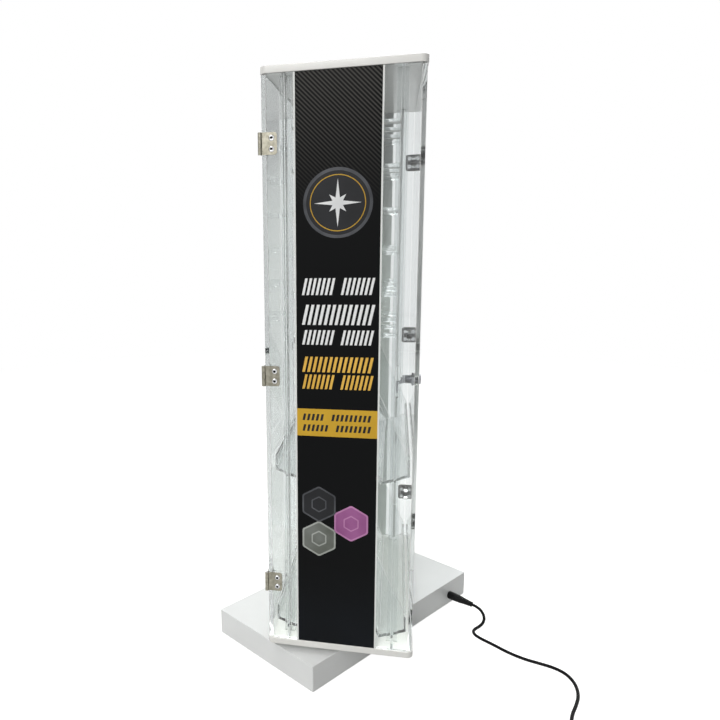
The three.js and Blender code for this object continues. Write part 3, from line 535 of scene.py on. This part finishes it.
def dressNode(name, material, rounding=0.0):
    # a CAD node keeps its mesh and gets its finish, welded so that its edges can be softened
    node = nodes[name]
    node.data.materials.clear()
    node.data.materials.append(made[material])
    node.data.polygons.foreach_set("use_smooth", [True] * len(node.data.polygons))
    weld = node.modifiers.new("weld", "WELD")
    weld.merge_threshold = cleanUp["weldWithin"] * mm
    if rounding:
        flat = node.modifiers.new("flatten", "DECIMATE")
        flat.decimate_type = "DISSOLVE"
        flat.angle_limit = math.radians(cleanUp["flatWithin"])
        softenEdges(node, rounding, "scrapedArris" if material == "castAcrylic" else None)
    else:
        splitSharp(node)


# The supply cord: its route over the floor in millimetres, as in the solids, then a coil of
# two layers that holds the rest of its length
cordRoute = {
    "points": [
        (178.6, 28.9, 15.9), (183.8, 25.1, 15.4), (189.2, 20.2, 13.3), (192.4, 13.8, 10.2),
        (192.6, 6.8, 7.2), (189.7, 0.2, 4.6), (184.6, -5.6, 2.8), (179.2, -11.2, 2.05),
        (175.8, -18, 2.05), (176.8, -25.4, 2.05), (181.8, -32, 2.05), (189, -38.2, 2.05),
        (197, -44.4, 2.05), (215.6, -59.8, 2.05), (234, -70.6, 2.05), (251.8, -76.9, 2.05),
        (266.4, -82.6, 2.05), (277.6, -91.4, 2.05), (283.8, -104, 2.05), (285.6, -119, 2.05),
        (283.2, -136, 2.05), (276.8, -153, 2.05), (270, -168, 2.05), (265.2, -183, 2.05),
        (262.7, -198, 2.05), (262, -213, 2.05), (262, -226, 2.05), (262, -239.7, 2.05),
    ],
    "radius": 2.0, "rest": 2.05, "sides": 16, "length": 1.464,
    "routeSteps": 6, "coilSteps": 2, "seam": 0.3,
    "layerTurns": 3.625, "turnSteps": 24, "coilRadius": 24.0, "pitch": 4.5, "climb": 0.25,
    "tail": 24.0, "tailRise": (0.1, 0.5, 0.9, 1.0),
    "port": 10.0, "inAdapter": (12.0, 24.0, 36.0),
}


def smoothRoute(points, steps):
    # centripetal spline: knots a square root of each distance apart, cubic between two points
    points = np.array(points, float)
    padded = np.vstack((2 * points[0] - points[1], points, 2 * points[-1] - points[-2]))
    knots = np.sqrt(np.linalg.norm(np.diff(padded, axis=0), axis=1))[:, None]
    p0, p1, p2, p3 = padded[:-3], padded[1:-2], padded[2:-1], padded[3:]
    d0, d1, d2 = knots[:-2], knots[1:-1], knots[2:]
    m1 = ((p1 - p0) / d0 - (p2 - p0) / (d0 + d1) + (p2 - p1) / d1) * d1
    m2 = ((p2 - p1) / d1 - (p3 - p1) / (d1 + d2) + (p3 - p2) / d2) * d1
    t = np.linspace(0, 1, steps, endpoint=False)[None, :, None]
    p1, p2, m1, m2 = p1[:, None], p2[:, None], m1[:, None], m2[:, None]
    curve = (
        p1 + m1 * t + (3 * (p2 - p1) - 2 * m1 - m2) * t ** 2
        + (2 * (p1 - p2) + m1 + m2) * t ** 3
    )
    return np.vstack((curve.reshape(-1, 3), points[-1:]))


def coilRoute(route):
    # radius falls one pitch a turn to the middle and grows again one layer up, angle = -2 pi t;
    # between the layers it climbs by s^3 (6 s^2 - 15 s + 10)
    half = route["layerTurns"]
    turns = np.linspace(0, 2 * half, round(2 * half * route["turnSteps"]) + 1)
    spread = half * route["pitch"] / 2
    start = np.array(route["points"][-1]) - (0, route["seam"], 0)
    centre = start - (route["coilRadius"] + spread, 2 * route["radius"], 0)
    radius = route["coilRadius"] - spread + np.abs(turns - half) * route["pitch"]
    share = np.clip((turns - half + route["climb"]) / (2 * route["climb"]), 0, 1)
    climb = share ** 3 * (share * (share * 6 - 15) + 10)
    angle = -2 * np.pi * turns
    coil = np.column_stack((
        centre[0] + radius * np.cos(angle), centre[1] + radius * np.sin(angle),
        route["rest"] + route["pitch"] * climb,
    ))
    rise = np.array(route["tailRise"])
    steps = len(rise)
    end = coil[-1]
    tail = np.column_stack((
        end[0] - route["tail"] * np.arange(1, steps + 1) / steps, np.full(steps, end[1]),
        end[2] + (route["port"] - end[2]) * rise,
    ))
    return np.vstack((start[None], coil, tail)), centre


coilPath, coilCentre = coilRoute(cordRoute)
laidPath = smoothRoute(cordRoute["points"], cordRoute["routeSteps"])[:-1]
cordPath = np.vstack((laidPath, smoothRoute(coilPath, cordRoute["coilSteps"])))
adapterMouth = cordPath[-1].copy()
inAdapter = [adapterMouth - (reach, 0, 0) for reach in cordRoute["inAdapter"]]
cordPath = np.vstack((cordPath, *inAdapter))
cord = buildPiece(
    "supply_cord", [tubePart(cordPath, cordRoute["radius"], cordRoute["sides"], "cordJacket")],
    "base", ("cord_run", "cord_coil"),
)

# Direct-current plug: a grip that swells behind its face, then a ribbed strain relief. Its
# outline is in pairs of radius and distance from the socket, along the base's own X
plugShape = {
    "grip": [(4.4, 0.3), (5.2, 0.3), (5.7, 1.2), (5.7, 9.0), (5.1, 21.5), (4.8, 22.0)],
    "sides": 28,
    "ribs": 5, "ribSpan": (22.6, 34.8), "ribRadius": (4.6, 3.6), "groove": 0.5,
    "ribSteps": (0.0, 0.4575, 1.9825, 2.44), "ribCut": (1, 0, 0, 1),
    "end": [(3.6, 37.6), (3.2, 38.0)],
    "contact": [(2.3, -9.0), (2.7, -8.6), (2.7, 1.0)], "contactSides": 24,
    "baseTurn": -36.2, "place": (88.5, 128.8, 15.9),
}


def turnedAxes(degrees):
    # X, Y and Z turned about Z: (cos a, sin a, 0), (-sin a, cos a, 0), (0, 0, 1)
    across, up = math.cos(math.radians(degrees)), math.sin(math.radians(degrees))
    return np.array(((across, up, 0), (-up, across, 0), (0, 0, 1)))


def ribbedProfile(shape):
    # evenly spread ribs on a cone, each with four points that stand some steps beyond its start,
    # at the cone's radius less the groove's depth where they are cut
    start = np.linspace(*shape["ribSpan"], shape["ribs"])[:, None]
    cone = np.linspace(*shape["ribRadius"], shape["ribs"])[:, None]
    radius = cone - shape["groove"] * np.array(shape["ribCut"])
    return np.stack((radius, start + shape["ribSteps"]), -1).reshape(-1, 2)


def plugParts(shape):
    # the relief's end stands for the last rib's fourth point; height is laid along the base's X
    x, y, z = turnedAxes(shape["baseTurn"])
    place = shape["place"] @ np.array((x, y, z))
    profile = np.vstack((shape["grip"], ribbedProfile(shape)[:-1], shape["end"]))
    grip = turnedPart(profile, shape["sides"], "sparkErodedAbs")
    contact = turnedPart(shape["contact"], shape["contactSides"], "bladePlating")
    return [moved(part, (-z, y, x), place) for part in (grip, contact)]


plug = buildPiece(
    "direct_current_plug", plugParts(plugShape), "base", ("supply_plug",),
)

# Wall adapter with its parting line, strain relief and two blades
adapterShape = {
    "length": 70.0, "width": 34.0, "height": 28.0, "corner": 5.0, "cornerSteps": 7,
    "seam": 0.35, "seamHalf": 0.3, "rounding": 0.9,
    "bladeLength": 17.0, "bladeWidth": 6.3, "bladeThickness": 1.5, "bladePitch": 12.7,
    "bladeRoot": 2.0, "bladeCorners": (2.0, 0.3, 0.3, 2.0), "bladeSteps": 5,
    "ribs": 5, "ribSpan": (0.0, 13.0), "ribRadius": (4.0, 2.78125), "groove": 0.5,
    "ribSteps": (0.0, 1.4, 1.6, 2.5), "ribCut": (0, 0, 1, 1),
    "root": (4.0, -1.0), "tip": (2.2, 16.0), "reliefSides": 20, "gap": 0.3,
}


def adapterParts(shape):
    # two shells with a shallow parting groove between them, blades at one end, relief at the other
    x, y = shape["length"] / 2, shape["width"] / 2
    outline = roundedOutline(rectangle(-x, x, -y, y), shape["corner"], shape["cornerSteps"])
    inner = outline * (1 - shape["seam"] / x)
    middle, seam = shape["height"] / 2, shape["seamHalf"]
    parts = [
        slabPart(outline, 0, middle - seam, "sparkErodedAbs"),
        slabPart(inner, middle - seam, middle + seam, "sparkErodedAbs"),
        slabPart(outline, middle + seam, shape["height"], "sparkErodedAbs"),
    ]
    profile = np.vstack((shape["root"], ribbedProfile(shape), shape["tip"]))
    relief = turnedPart(profile, shape["reliefSides"], "sparkErodedAbs")
    axes = ((0, 0, -1), (0, 1, 0), (1, 0, 0))
    parts.append(moved(relief, axes, (x, 0, cordRoute["port"])))
    half = shape["bladeWidth"] / 2
    corners = rectangle(-x - shape["bladeLength"], shape["bladeRoot"] - x, -half, half)
    blade = roundedOutline(corners, shape["bladeCorners"], shape["bladeSteps"])
    for side in (-1, 1):
        low = side * shape["bladePitch"] / 2 - shape["bladeThickness"] / 2
        part = slabPart(blade, low, low + shape["bladeThickness"], "bladePlating")
        parts.append(moved(part, ((1, 0, 0), (0, 0, 1), (0, 1, 0)), (0, 0, middle)))
    return parts


adapterReach = adapterShape["gap"] + adapterShape["tip"][1] + adapterShape["length"] / 2
adapterPlace = adapterMouth * (1, 1, 0) - (adapterReach, 0, 0)
adapter = buildPiece(
    "wall_adapter_case", [moved(part, origin=adapterPlace) for part in adapterParts(adapterShape)],
    "base", ("wall_adapter",), adapterShape["rounding"],
)

# Hook and loop tape round both layers of the coil
tapeShape = {
    "angle": 200.0, "width": 9.0, "steps": 8,
    "inner": (15.6, 34.6, 0.5, 8.75), "innerCorner": 2.0,
    "outer": (14.9, 35.3, 0.02, 9.45), "outerCorner": 2.7,
}


def tapeParts(shape):
    # a rounded rectangle round the bundle in the plane of the coil's radius, as a closed band
    inner = roundedOutline(rectangle(*shape["inner"]), shape["innerCorner"], shape["steps"])
    outer = roundedOutline(rectangle(*shape["outer"]), shape["outerCorner"], shape["steps"])
    half, count = shape["width"] / 2, len(inner)
    rings = [(inner, -half), (outer, -half), (outer, half), (inner, half)]
    points = np.vstack([np.column_stack((ring, np.full(count, y))) for ring, y in rings])
    faces = gridQuads(len(rings) + 1, count) % len(points)
    radial, around, upward = turnedAxes(shape["angle"])
    band = points, faces.tolist(), "nylonTape"
    return [moved(band, (radial, upward, around), coilCentre * (1, 1, 0))]


tape = buildPiece("cord_tape", tapeParts(tapeShape), "base")
print("cord laid:", round(float(np.linalg.norm(np.diff(cordPath, axis=0), axis=1).sum())), "mm")


def halfTurned(parts, half):
    # the second half of the cabinet is the first one turned by half a turn about Z
    return [moved(part, ((-1, 0, 0), (0, -1, 0), (0, 0, 1))) for part in parts] if half else parts


# Butt hinges of 1.2 mm nickel plated sheet, with button head screws. The dome's turns are in
# radians from its top, the crown is in pairs of radius and share of the rise
hingeShape = {
    "heights": {"lower": 132.0, "middle": 394.0, "upper": 656.0},
    "pin": (-89.35, -165.85), "pinRadius": 1.0, "pinProud": 0.01, "pinSides": 20,
    "half": 12.0, "reach": 19.0, "corner": 3.0, "plain": 0.05, "arcPoints": 7,
    "near": 0.45, "far": 1.65, "pad": 1.83, "gap": 0.3,
    "knuckle": 2.2, "knuckleEnd": (0.5, 0.15, 0.2), "knuckleSides": 32, "middleKnuckle": 3.85,
    "screwReach": 13.0, "screwPitch": 11.7, "screwEnd": 0.8,
    "headRadius": 3.2, "headRise": 1.5, "headRoot": 0.3,
    "dome": (1.0, 1.15, 1.3, 1.45, 1.55), "domeShare": 0.75,
    "crown": ((2.0, 1.0), (2.1, 0.97), (2.45, 0.88)),
    "socket": 1.75, "socketEdge": 0.08, "socketTaperShare": 0.96, "socketDepths": (1.05, 1.15),
    "socketMiddle": 0.3, "socketFloor": (1.3, 1.12), "socketFloorShare": 0.9, "socketSteps": 6,
    "sheet": 1.85, "sheets": (5.0, 4.0), "seat": 0.2,
    "shank": 1.5, "shankStart": 1.0, "shankEdge": 0.3, "shankSides": 16,
    "nutFlats": 5.5, "nutThickness": 2.4, "nutBite": 0.1,
}
# Axes for parts whose height runs out of a narrow face, and for those out of a door
outOfSheet = ((1, 0, 0), (0, 0, 1), (0, -1, 0))
outOfDoor = ((0, 0, 1), (0, 1, 0), (-1, 0, 0))


def leafParts(shape, fixed):
    # from the pin to the free edge, with arcs on the two free corners, stepped back where the
    # other leaf's knuckle is; the pad lies between the leaf and the sheet and has no steps. Its
    # dark grey is painted shade for the leaf's back
    half, reach, gap, count = shape["half"], shape["reach"], shape["gap"], shape["arcPoints"]
    clear = shape["knuckle"] + gap
    outer, inner = (0.0, clear) if fixed else (clear, 0.0)
    step = shape["middleKnuckle"] + (gap if fixed else 0.0)
    corners = rectangle(outer, reach, -half, half)
    steps = [(outer, step), (inner, step), (inner, -step), (outer, -step)]
    radii = (shape["plain"], shape["corner"], shape["corner"], shape["plain"])
    arcs = roundedOutline(corners, radii, count)[count:3 * count]
    outline = np.vstack((corners[:1], arcs, corners[3:]))
    leaf = slabPart(np.vstack((outline, steps)), -shape["far"], -shape["near"], "tumbledNickel")
    pad = slabPart(outline, -shape["pad"], -shape["far"], "paintedShadePad")
    return [moved(part, outOfSheet) for part in (leaf, pad)]


def nutParts(shape, fixed, place):
    # behind the sheet: the screw's shank with its tapered end, and a hexagon nut on it
    seat = shape["sheet"] + shape["sheets"][fixed] + shape["seat"]
    end = seat + shape["nutThickness"]
    tip, shank, edge = end + shape["screwEnd"], shape["shank"], shape["shankEdge"]
    bore, wide = shank - shape["nutBite"], shape["nutFlats"] / math.sqrt(3)
    profile = [(shank, shape["shankStart"]), (shank, tip - edge), (shank - edge, tip)]
    screw = turnedPart(profile, shape["shankSides"], "brightChrome")
    nut = hexagonPart([
        (bore, seat, 0), (wide, seat, 1), (wide, end, 1), (bore, end, 0),
    ], "brightChrome")
    axes = ((1, 0, 0), (0, 0, -1), (0, 1, 0))
    return [moved(part, axes, (place[0], 0, place[2])) for part in (screw, nut)]


def screwParts(shape, place):
    # button head: a domed ring, rise (1 - share + share cos t) at radius sin t, round a
    # hexagonal socket. Outlines are in radius, height and a mark for hexagonal rings
    radius, rise, socket = shape["headRadius"], shape["headRise"], shape["socket"]
    share, lip = shape["domeShare"], rise - shape["socketEdge"]
    crown = [(wide, rise * high, 0) for wide, high in shape["crown"]]
    dome = [
        (radius * math.sin(t), rise * (1 - share + share * math.cos(t)), 0) for t in shape["dome"]
    ]
    head = [(socket, lip, 1), *crown, *dome, (radius, -shape["headRoot"], 0)]
    shell = hexagonPart(head[::-1], "brightChrome")
    wall, middle = shape["socketDepths"]
    # the socket's walls and floor are painted shade: near black for the shade inside the hole
    hole = hexagonPart([
        (socket, lip, 1), (socket * shape["socketTaperShare"], rise - wall, 1),
        (shape["socketMiddle"], rise - middle, 0),
    ], "darkRecess")
    low, high = (rise - depth for depth in shape["socketFloor"])
    square, corner = rectangle(-socket, socket, -socket, socket), shape["socketFloorShare"]
    outline = roundedOutline(square, socket * corner, shape["socketSteps"])
    floor = slabPart(outline, low, high, "darkRecess")
    return [moved(part, outOfSheet, place) for part in (shell, hole, floor)]


def knucklePart(shape, low, high):
    # a rolled barrel with a small chamfer at each end
    wide = shape["knuckle"]
    wall, edge, rise = shape["knuckleEnd"]
    return turnedPart([
        (wide - wall, low), (wide - edge, low), (wide, low + rise), (wide, high - rise),
        (wide - edge, high), (wide - wall, high),
    ], shape["knuckleSides"], "tumbledNickel")


def hingeParts(shape, fixed, height):
    # a leaf with its knuckles and two screws. The frame's leaf has the pin, and the door's leaf
    # is drawn like it and then has X and Y changed over
    parts = leafParts(shape, fixed)
    middle, end = shape["middleKnuckle"], shape["half"]
    if fixed:
        apart, pin, proud = middle + shape["gap"], shape["pinRadius"], end + shape["pinProud"]
        parts += [
            knucklePart(shape, apart, end), knucklePart(shape, -end, -apart),
            turnedPart([(pin, -proud), (pin, proud)], shape["pinSides"], "brightChrome"),
        ]
    else:
        parts.append(knucklePart(shape, -middle, middle))
    for side in (-1, 1):
        place = (shape["screwReach"], shape["near"], side * shape["screwPitch"] / 2)
        parts += screwParts(shape, place) + nutParts(shape, fixed, place)
    axes = ((1, 0, 0), (0, 1, 0), (0, 0, 1)) if fixed else ((0, 1, 0), (1, 0, 0), (0, 0, 1))
    return [moved(part, axes, (*shape["pin"], height)) for part in parts]


for half, side in enumerate(("left", "right")):
    for level, height in hingeShape["heights"].items():
        for kind, body in (("frame_leaf", "tower"), ("door_leaf", f"{side}_door")):
            parts = halfTurned(hingeParts(hingeShape, kind == "frame_leaf", height), half)
            name = f"{side}_hinge_{level}_{kind}"
            buildPiece(f"{side}_butt_{level}_{kind}", parts, body, (name,))
print("hinges made")

# Cam lock: chromed head with its key slot, a threaded barrel and a hexagon nut. Radii and heights
# out of the door
lockShape = {
    "axis": (-87.5, 134.0, 388.0),
    "head": [
        (5.0, 0.2), (6.0, 0.2), (6.0, 1.7), (5.8, 2.35), (5.3, 2.8), (4.7, 3.0), (4.25, 3.0),
        (4.2, 2.7), (4.1, 2.7), (4.05, 2.95), (0.4, 2.95),
    ],
    "headSides": 40,
    "barrel": 5.0, "barrelSpan": (-15.5, 0.21), "barrelSides": 32,
    "thread": 0.8, "threadDepth": 0.35,
    "nutBore": 5.05, "nutFlats": 13.0, "nutSpan": (-7.7, -5.2),
    "slot": (5.2, 1.1), "slotCorner": 0.3, "slotSteps": 4, "slotSpan": (2.9, 2.98),
    "camRounding": 0.3,
}


def lockParts(shape):
    # thread: the radius falls by its depth at every second half pitch, as a triangle wave
    turns = np.arange(*shape["barrelSpan"], shape["thread"] / 2)
    wave = np.where(np.arange(len(turns)) % 2, 0.0, shape["threadDepth"])
    barrel = np.column_stack((shape["barrel"] - wave, turns))
    bore, flats = shape["nutBore"], shape["nutFlats"] / math.sqrt(3)
    far, near = shape["nutSpan"]
    nut = [(bore, far, 0), (flats, far, 1), (flats, near, 1), (bore, near, 0)]
    x, y = (side / 2 for side in shape["slot"])
    slot = roundedOutline(rectangle(-x, x, -y, y), shape["slotCorner"], shape["slotSteps"])
    parts = [
        turnedPart(shape["head"], shape["headSides"], "paintedShadeChrome"),
        turnedPart(barrel, shape["barrelSides"], "paintedShadeChrome"),
        hexagonPart(nut, "paintedShadeChrome"),
        # the key slot is a thin near-black film on the head: painted shade for the keyway's depth
        slabPart(slot, *shape["slotSpan"], "darkRecess"),
    ]
    return [moved(part, outOfDoor, shape["axis"]) for part in parts]


for half, side in enumerate(("left", "right")):
    parts = halfTurned(lockParts(lockShape), half)
    buildPiece(f"{side}_lock_body", parts, f"{side}_door", (f"{side}_lock_barrel",))
    dressNode(f"{side}_lock_cam", "paintedShadeChrome", lockShape["camRounding"])
print("locks made")

# Pegs: a strip on the spine with six round pegs, whose tips flare and round off. The peg is in
# pairs of radius and reach
pegShape = {
    "columns": (-105.0, -35.0, 35.0, 105.0),
    "rows": (435.0, 484.0, 533.0, 582.0, 631.0, 680.0),
    "wall": (-5.7, -2.72), "stripHalf": 7.0, "stripCorner": 3.0, "margin": 16.0,
    "peg": [(3.0, 5.73), (3.0, 53.5), (3.2, 57.5)], "nose": (2.4, 61.3), "noseRadius": 1.2,
    "sides": 24, "steps": 5,
}


def pegParts(shape, column):
    # strip: rounded outline in Y and Z. Peg: its outline ends in a quarter circle round the nose
    half, margin, rows = shape["stripHalf"], shape["margin"], shape["rows"]
    corners = rectangle(column - half, column + half, rows[0] - margin, rows[-1] + margin)
    outline = roundedOutline(corners, shape["stripCorner"], shape["steps"])
    strip = slabPart(outline, *shape["wall"], "castAcrylic")
    parts = [moved(strip, ((0, 1, 0), (0, 0, 1), (1, 0, 0)))]
    bend = np.linspace(0, np.pi / 2, shape["steps"])
    tip = shape["nose"] + shape["noseRadius"] * np.column_stack((np.cos(bend), np.sin(bend)))
    peg = turnedPart(np.vstack((shape["peg"], tip)), shape["sides"], "castAcrylic")
    return parts + [moved(peg, outOfDoor, (0, column, row)) for row in rows]


for half, side in enumerate(("left", "right")):
    for number, column in enumerate(pegShape["columns"], 1):
        parts = halfTurned(pegParts(pegShape, column), half)
        replaced = (f"peg_strip_{side}_{number}",)
        buildPiece(f"{side}_pegs_{number}", parts, "tower", replaced)
print("pegs made")

# The design on the graphic: a compass star in rings, rows of slanted strokes, a gold band and
# three hexagons. Across and up in millimetres
signDesign = {
    "face": -164.7,
    "film": 0.05,
    "star": (-3.85, 590.0),
    "rings": [(38.0, 34.6, "inkPewter"), (34.6, 0.4, "inkGraphite"), (30.6, 29.6, "inkGold")],
    "ringSides": 64,
    "starPoints": 8, "starReach": (26.0, 13.0, 6.2),
    "rows": [
        (489, 508, "inkWhite", (7, 7)), (455, 478, "inkWhite", (13,)),
        (432, 449, "inkWhite", (7, 7)), (400, 418, "inkAmber", (14,)),
        (380, 397, "inkAmber", (7, 7)),
    ],
    "rowHalf": 40.0, "lean": 0.21, "strokeShare": 0.55, "wordGap": 1.5,
    "band": (323.0, 356.0),
    "bandRows": [(342, 350, "inkGraphite", (5, 9)), (329, 337, "inkGraphite", (6, 8))],
    "hexagons": [
        (-24.6, 238.0, 23.0, "inkPewter", "inkGraphite"),
        (13.6, 216.0, 23.0, "inkMauvePale", "inkMauve"),
        (-24.6, 193.9, 23.0, "inkSteelPale", "inkSteel"),
    ],
    "hexagonShares": (1.0, 0.9, 0.45, 0.37), "hexagonCorner": 0.16, "hexagonSteps": 5,
}


def signPlaced(part, design, layer):
    # each layer lies one film's thickness further out
    return moved(part, outOfSheet, (0, design["face"] - layer * design["film"], 0))


def starOutline(x, y, design):
    # valleys at every second step of the turn, long and short points in turn between them
    points = design["starPoints"]
    long, short, valley = design["starReach"]
    turn = np.arange(2 * points) * np.pi / points + np.pi / 2
    radius = np.full(2 * points, valley)
    radius[::4], radius[2::4] = long, short
    return np.column_stack((x + radius * np.cos(turn), y + radius * np.sin(turn)))


def strokeRow(design, row):
    # slanted strokes at an even pitch, in words that stand one gap apart, counted in pitches
    low, high, ink, words = row
    gap = design["wordGap"]
    pitch = 2 * design["rowHalf"] / (sum(words) + gap * (len(words) - 1))
    starts = np.concatenate([
        np.arange(number) + sum(words[:index]) + gap * index for index, number in enumerate(words)
    ])
    left = design["star"][0] - design["rowHalf"] + starts * pitch
    width, lean = pitch * design["strokeShare"], design["lean"] * (high - low)
    return [
        slabPart(
            [(x, low), (x + width, low), (x + width + lean, high), (x + lean, high)],
            0, design["film"], ink,
        ) for x in left
    ]


def hexagonOutline(x, y, radius, design):
    # six points at an even turn, rounded by a share of the radius
    turn = np.arange(6) * np.pi / 3 + np.pi / 6
    corners = np.column_stack((x + radius * np.cos(turn), y + radius * np.sin(turn)))
    return roundedOutline(corners, radius * design["hexagonCorner"], design["hexagonSteps"])


def signParts(design):
    # three motifs, each of films laid on films
    film = design["film"]
    x, y = design["star"]
    emblem = []
    for layer, (outer, inner, ink) in enumerate(design["rings"]):
        outline = [(inner, 0), (outer, 0), (outer, film), (inner, film), (inner, 0)]
        ring = turnedPart(outline, design["ringSides"], ink, capped=False)
        emblem.append(signPlaced(moved(ring, origin=(x, y, 0)), design, max(layer - 1, 0)))
    star = slabPart(starOutline(x, y, design), 0, film, "inkSilver")
    emblem.append(signPlaced(star, design, 2))
    low, high = design["band"]
    edge = signPrint["blackHalf"]
    outline = rectangle(x - edge, x + edge, low, high)
    band = signPlaced(slabPart(outline, 0, film, "inkBand"), design, 0)
    strokes, bandStrokes = [
        [signPlaced(part, design, layer) for row in design[rows] for part in strokeRow(design, row)]
        for layer, rows in enumerate(("rows", "bandRows"))
    ]
    tiles = []
    for across, up, radius, rim, field in design["hexagons"]:
        for layer, share in enumerate(design["hexagonShares"]):
            outline = hexagonOutline(across, up, radius * share, design)
            tile = slabPart(outline, 0, film, field if layer % 2 else rim)
            tiles.append(signPlaced(tile, design, layer))
    return {"emblem": emblem, "strokes": [*strokes, band, *bandStrokes], "tiles": tiles}


for half, face in enumerate(("front", "rear")):
    for kind, parts in signParts(signDesign).items():
        turned = halfTurned(parts, half)
        buildPiece(f"{face}_graphic_{kind}", turned, "tower", smooth=False)
    dressNode(f"{face}_graphic", "vinylPrint")
print("graphics made")

# Everything whose solid has the right shape keeps it, with its finish and its edge radius in mm
dressed = {
    "castAcrylic": (0.45, [
        "spine_panel", "front_panel", "rear_panel", "left_door", "right_door",
        "stile_front_left", "stile_front_right", "stile_rear_left", "stile_rear_right",
        "lower_tray_left", "upper_tray_left", "lower_tray_right", "upper_tray_right",
    ]),
    "whiteAcrylicSheet": (0.6, ["top_plate", "bottom_plate"]),
    "foamBoardSkin": (0.5, ["base_shell", "base_cover"]),
    "zincPlate": (0.0, ["gear_motor", "bearing_lower_ring", "bearing_upper_ring"]),
    "naturalAcetal": (0.0, ["bearing_glide_ring", "ring_gear", "drive_pinion"]),
    "sparkErodedAbs": (0.0, ["power_socket", "motor_lead"]),
    "mouldedRubber": (0.4, [f"rubber_foot_{number}" for number in (1, 2, 3, 4)]),
}
for material, (rounding, names) in dressed.items():
    for name in names:
        dressNode(name, material, rounding)
print("solids dressed")

# Pale floor that keeps the shadow, white behind it, and three soft lamps. Distances in metres
studio = {
    "floorColour": "#b4b4b2", "floorGrain": 40.0, "floorRoughness": (0.6, 0.8),
    "floorHalf": 12, "floorLift": 0.88, "floorFade": (0.6, 2.2),
    "worldLight": 0.2,
    "aim": (0, 0, 0.35),
    "lamps": [
        {"place": (-2.2, -1.3, 6.7), "size": 4.5, "power": 155.0, "colour": (1.0, 0.99, 0.97)},
        {"place": (-0.9, -3.4, 2.5), "size": 2.0, "power": 100.0, "colour": (1.0, 0.99, 0.98)},
        {"place": (1.8, 3.9, 5.6), "size": 4.8, "power": 214.0, "colour": (0.98, 0.99, 1.0)},
    ],
}


def seenRays(owner):
    # 1 where the camera, a reflection or a clear sheet looks on, 0 for the light itself
    paths = addNode(owner, "ShaderNodeLightPath").outputs
    both = addNode(owner, "ShaderNodeMath", {
        0: paths["Is Camera Ray"], 1: paths["Is Glossy Ray"],
    }, operation="MAXIMUM")
    return addNode(owner, "ShaderNodeMath", {
        0: both, 1: paths["Is Transmission Ray"],
    }, operation="MAXIMUM")


def addStudio(recipe):
    # the floor gives back the light that falls on it, plus an even lift for rays that look at it
    ground = newMaterial("paleFloor")
    low, high = recipe["floorRoughness"]
    rough = addNode(ground, "ShaderNodeMapRange", {
        "Value": noiseField(ground, recipe["floorGrain"]), "To Min": low, "To Max": high,
    })
    matt = addNode(ground, "ShaderNodeBsdfDiffuse", {
        "Color": linear(recipe["floorColour"]), "Roughness": rough,
    })
    seen = seenRays(ground)
    glow = addNode(ground, "ShaderNodeMath", {
        0: seen, 1: recipe["floorLift"],
    }, operation="MULTIPLY")
    lift = addNode(ground, "ShaderNodeEmission", {"Strength": glow})
    total = addNode(ground, "ShaderNodeAddShader", {0: matt, 1: lift})
    # with the distance from the cabinet it turns into the backdrop, so that no horizon shows
    backdrop = addNode(ground, "ShaderNodeEmission", {"Strength": seen})
    place = addNode(ground, "ShaderNodeTexCoord").outputs["Object"]
    distance = addNode(ground, "ShaderNodeVectorMath", {0: place}, operation="LENGTH")
    near, far = recipe["floorFade"]
    fade = addNode(ground, "ShaderNodeMapRange", {
        "Value": distance.outputs["Value"], "From Min": near, "From Max": far,
    })
    faded = addNode(ground, "ShaderNodeMixShader", {0: fade, 1: total, 2: backdrop})
    addNode(ground, "ShaderNodeOutputMaterial", {"Surface": faded})
    mesh = bpy.data.meshes.new("floor")
    half = recipe["floorHalf"]
    corners = [(*corner, 0) for corner in rectangle(-half, half, -half, half)]
    mesh.from_pydata(corners, [], [(0, 1, 2, 3)])
    mesh.materials.append(ground)
    addObject("floor", mesh)

    world = bpy.data.worlds.new("studio")
    world.use_nodes = True
    world.node_tree.nodes.clear()
    scene.world = world
    strength = addNode(world, "ShaderNodeMapRange", {
        "Value": seenRays(world), "To Min": recipe["worldLight"], "To Max": 1.0,
    })
    sky = addNode(world, "ShaderNodeBackground", {"Strength": strength, "Color": (1, 1, 1, 1)})
    addNode(world, "ShaderNodeOutputWorld", {"Surface": sky})

    for number, lamp in enumerate(recipe["lamps"], 1):
        data = bpy.data.lights.new(f"softbox_{number}", "AREA")
        data.size = lamp["size"]
        data.energy = lamp["power"]
        data.color = lamp["colour"]
        light = addObject(f"softbox_{number}", data)
        light.location = lamp["place"]
        toward = Vector(recipe["aim"]) - light.location
        light.rotation_euler = toward.to_track_quat("-Z", "Y").to_euler()


addStudio(studio)
scene.view_settings.view_transform = "Standard"
scene.cycles.max_bounces = 32
scene.cycles.glossy_bounces = 32
scene.cycles.transmission_bounces = 32
scene.cycles.transparent_max_bounces = 24
print("studio set")
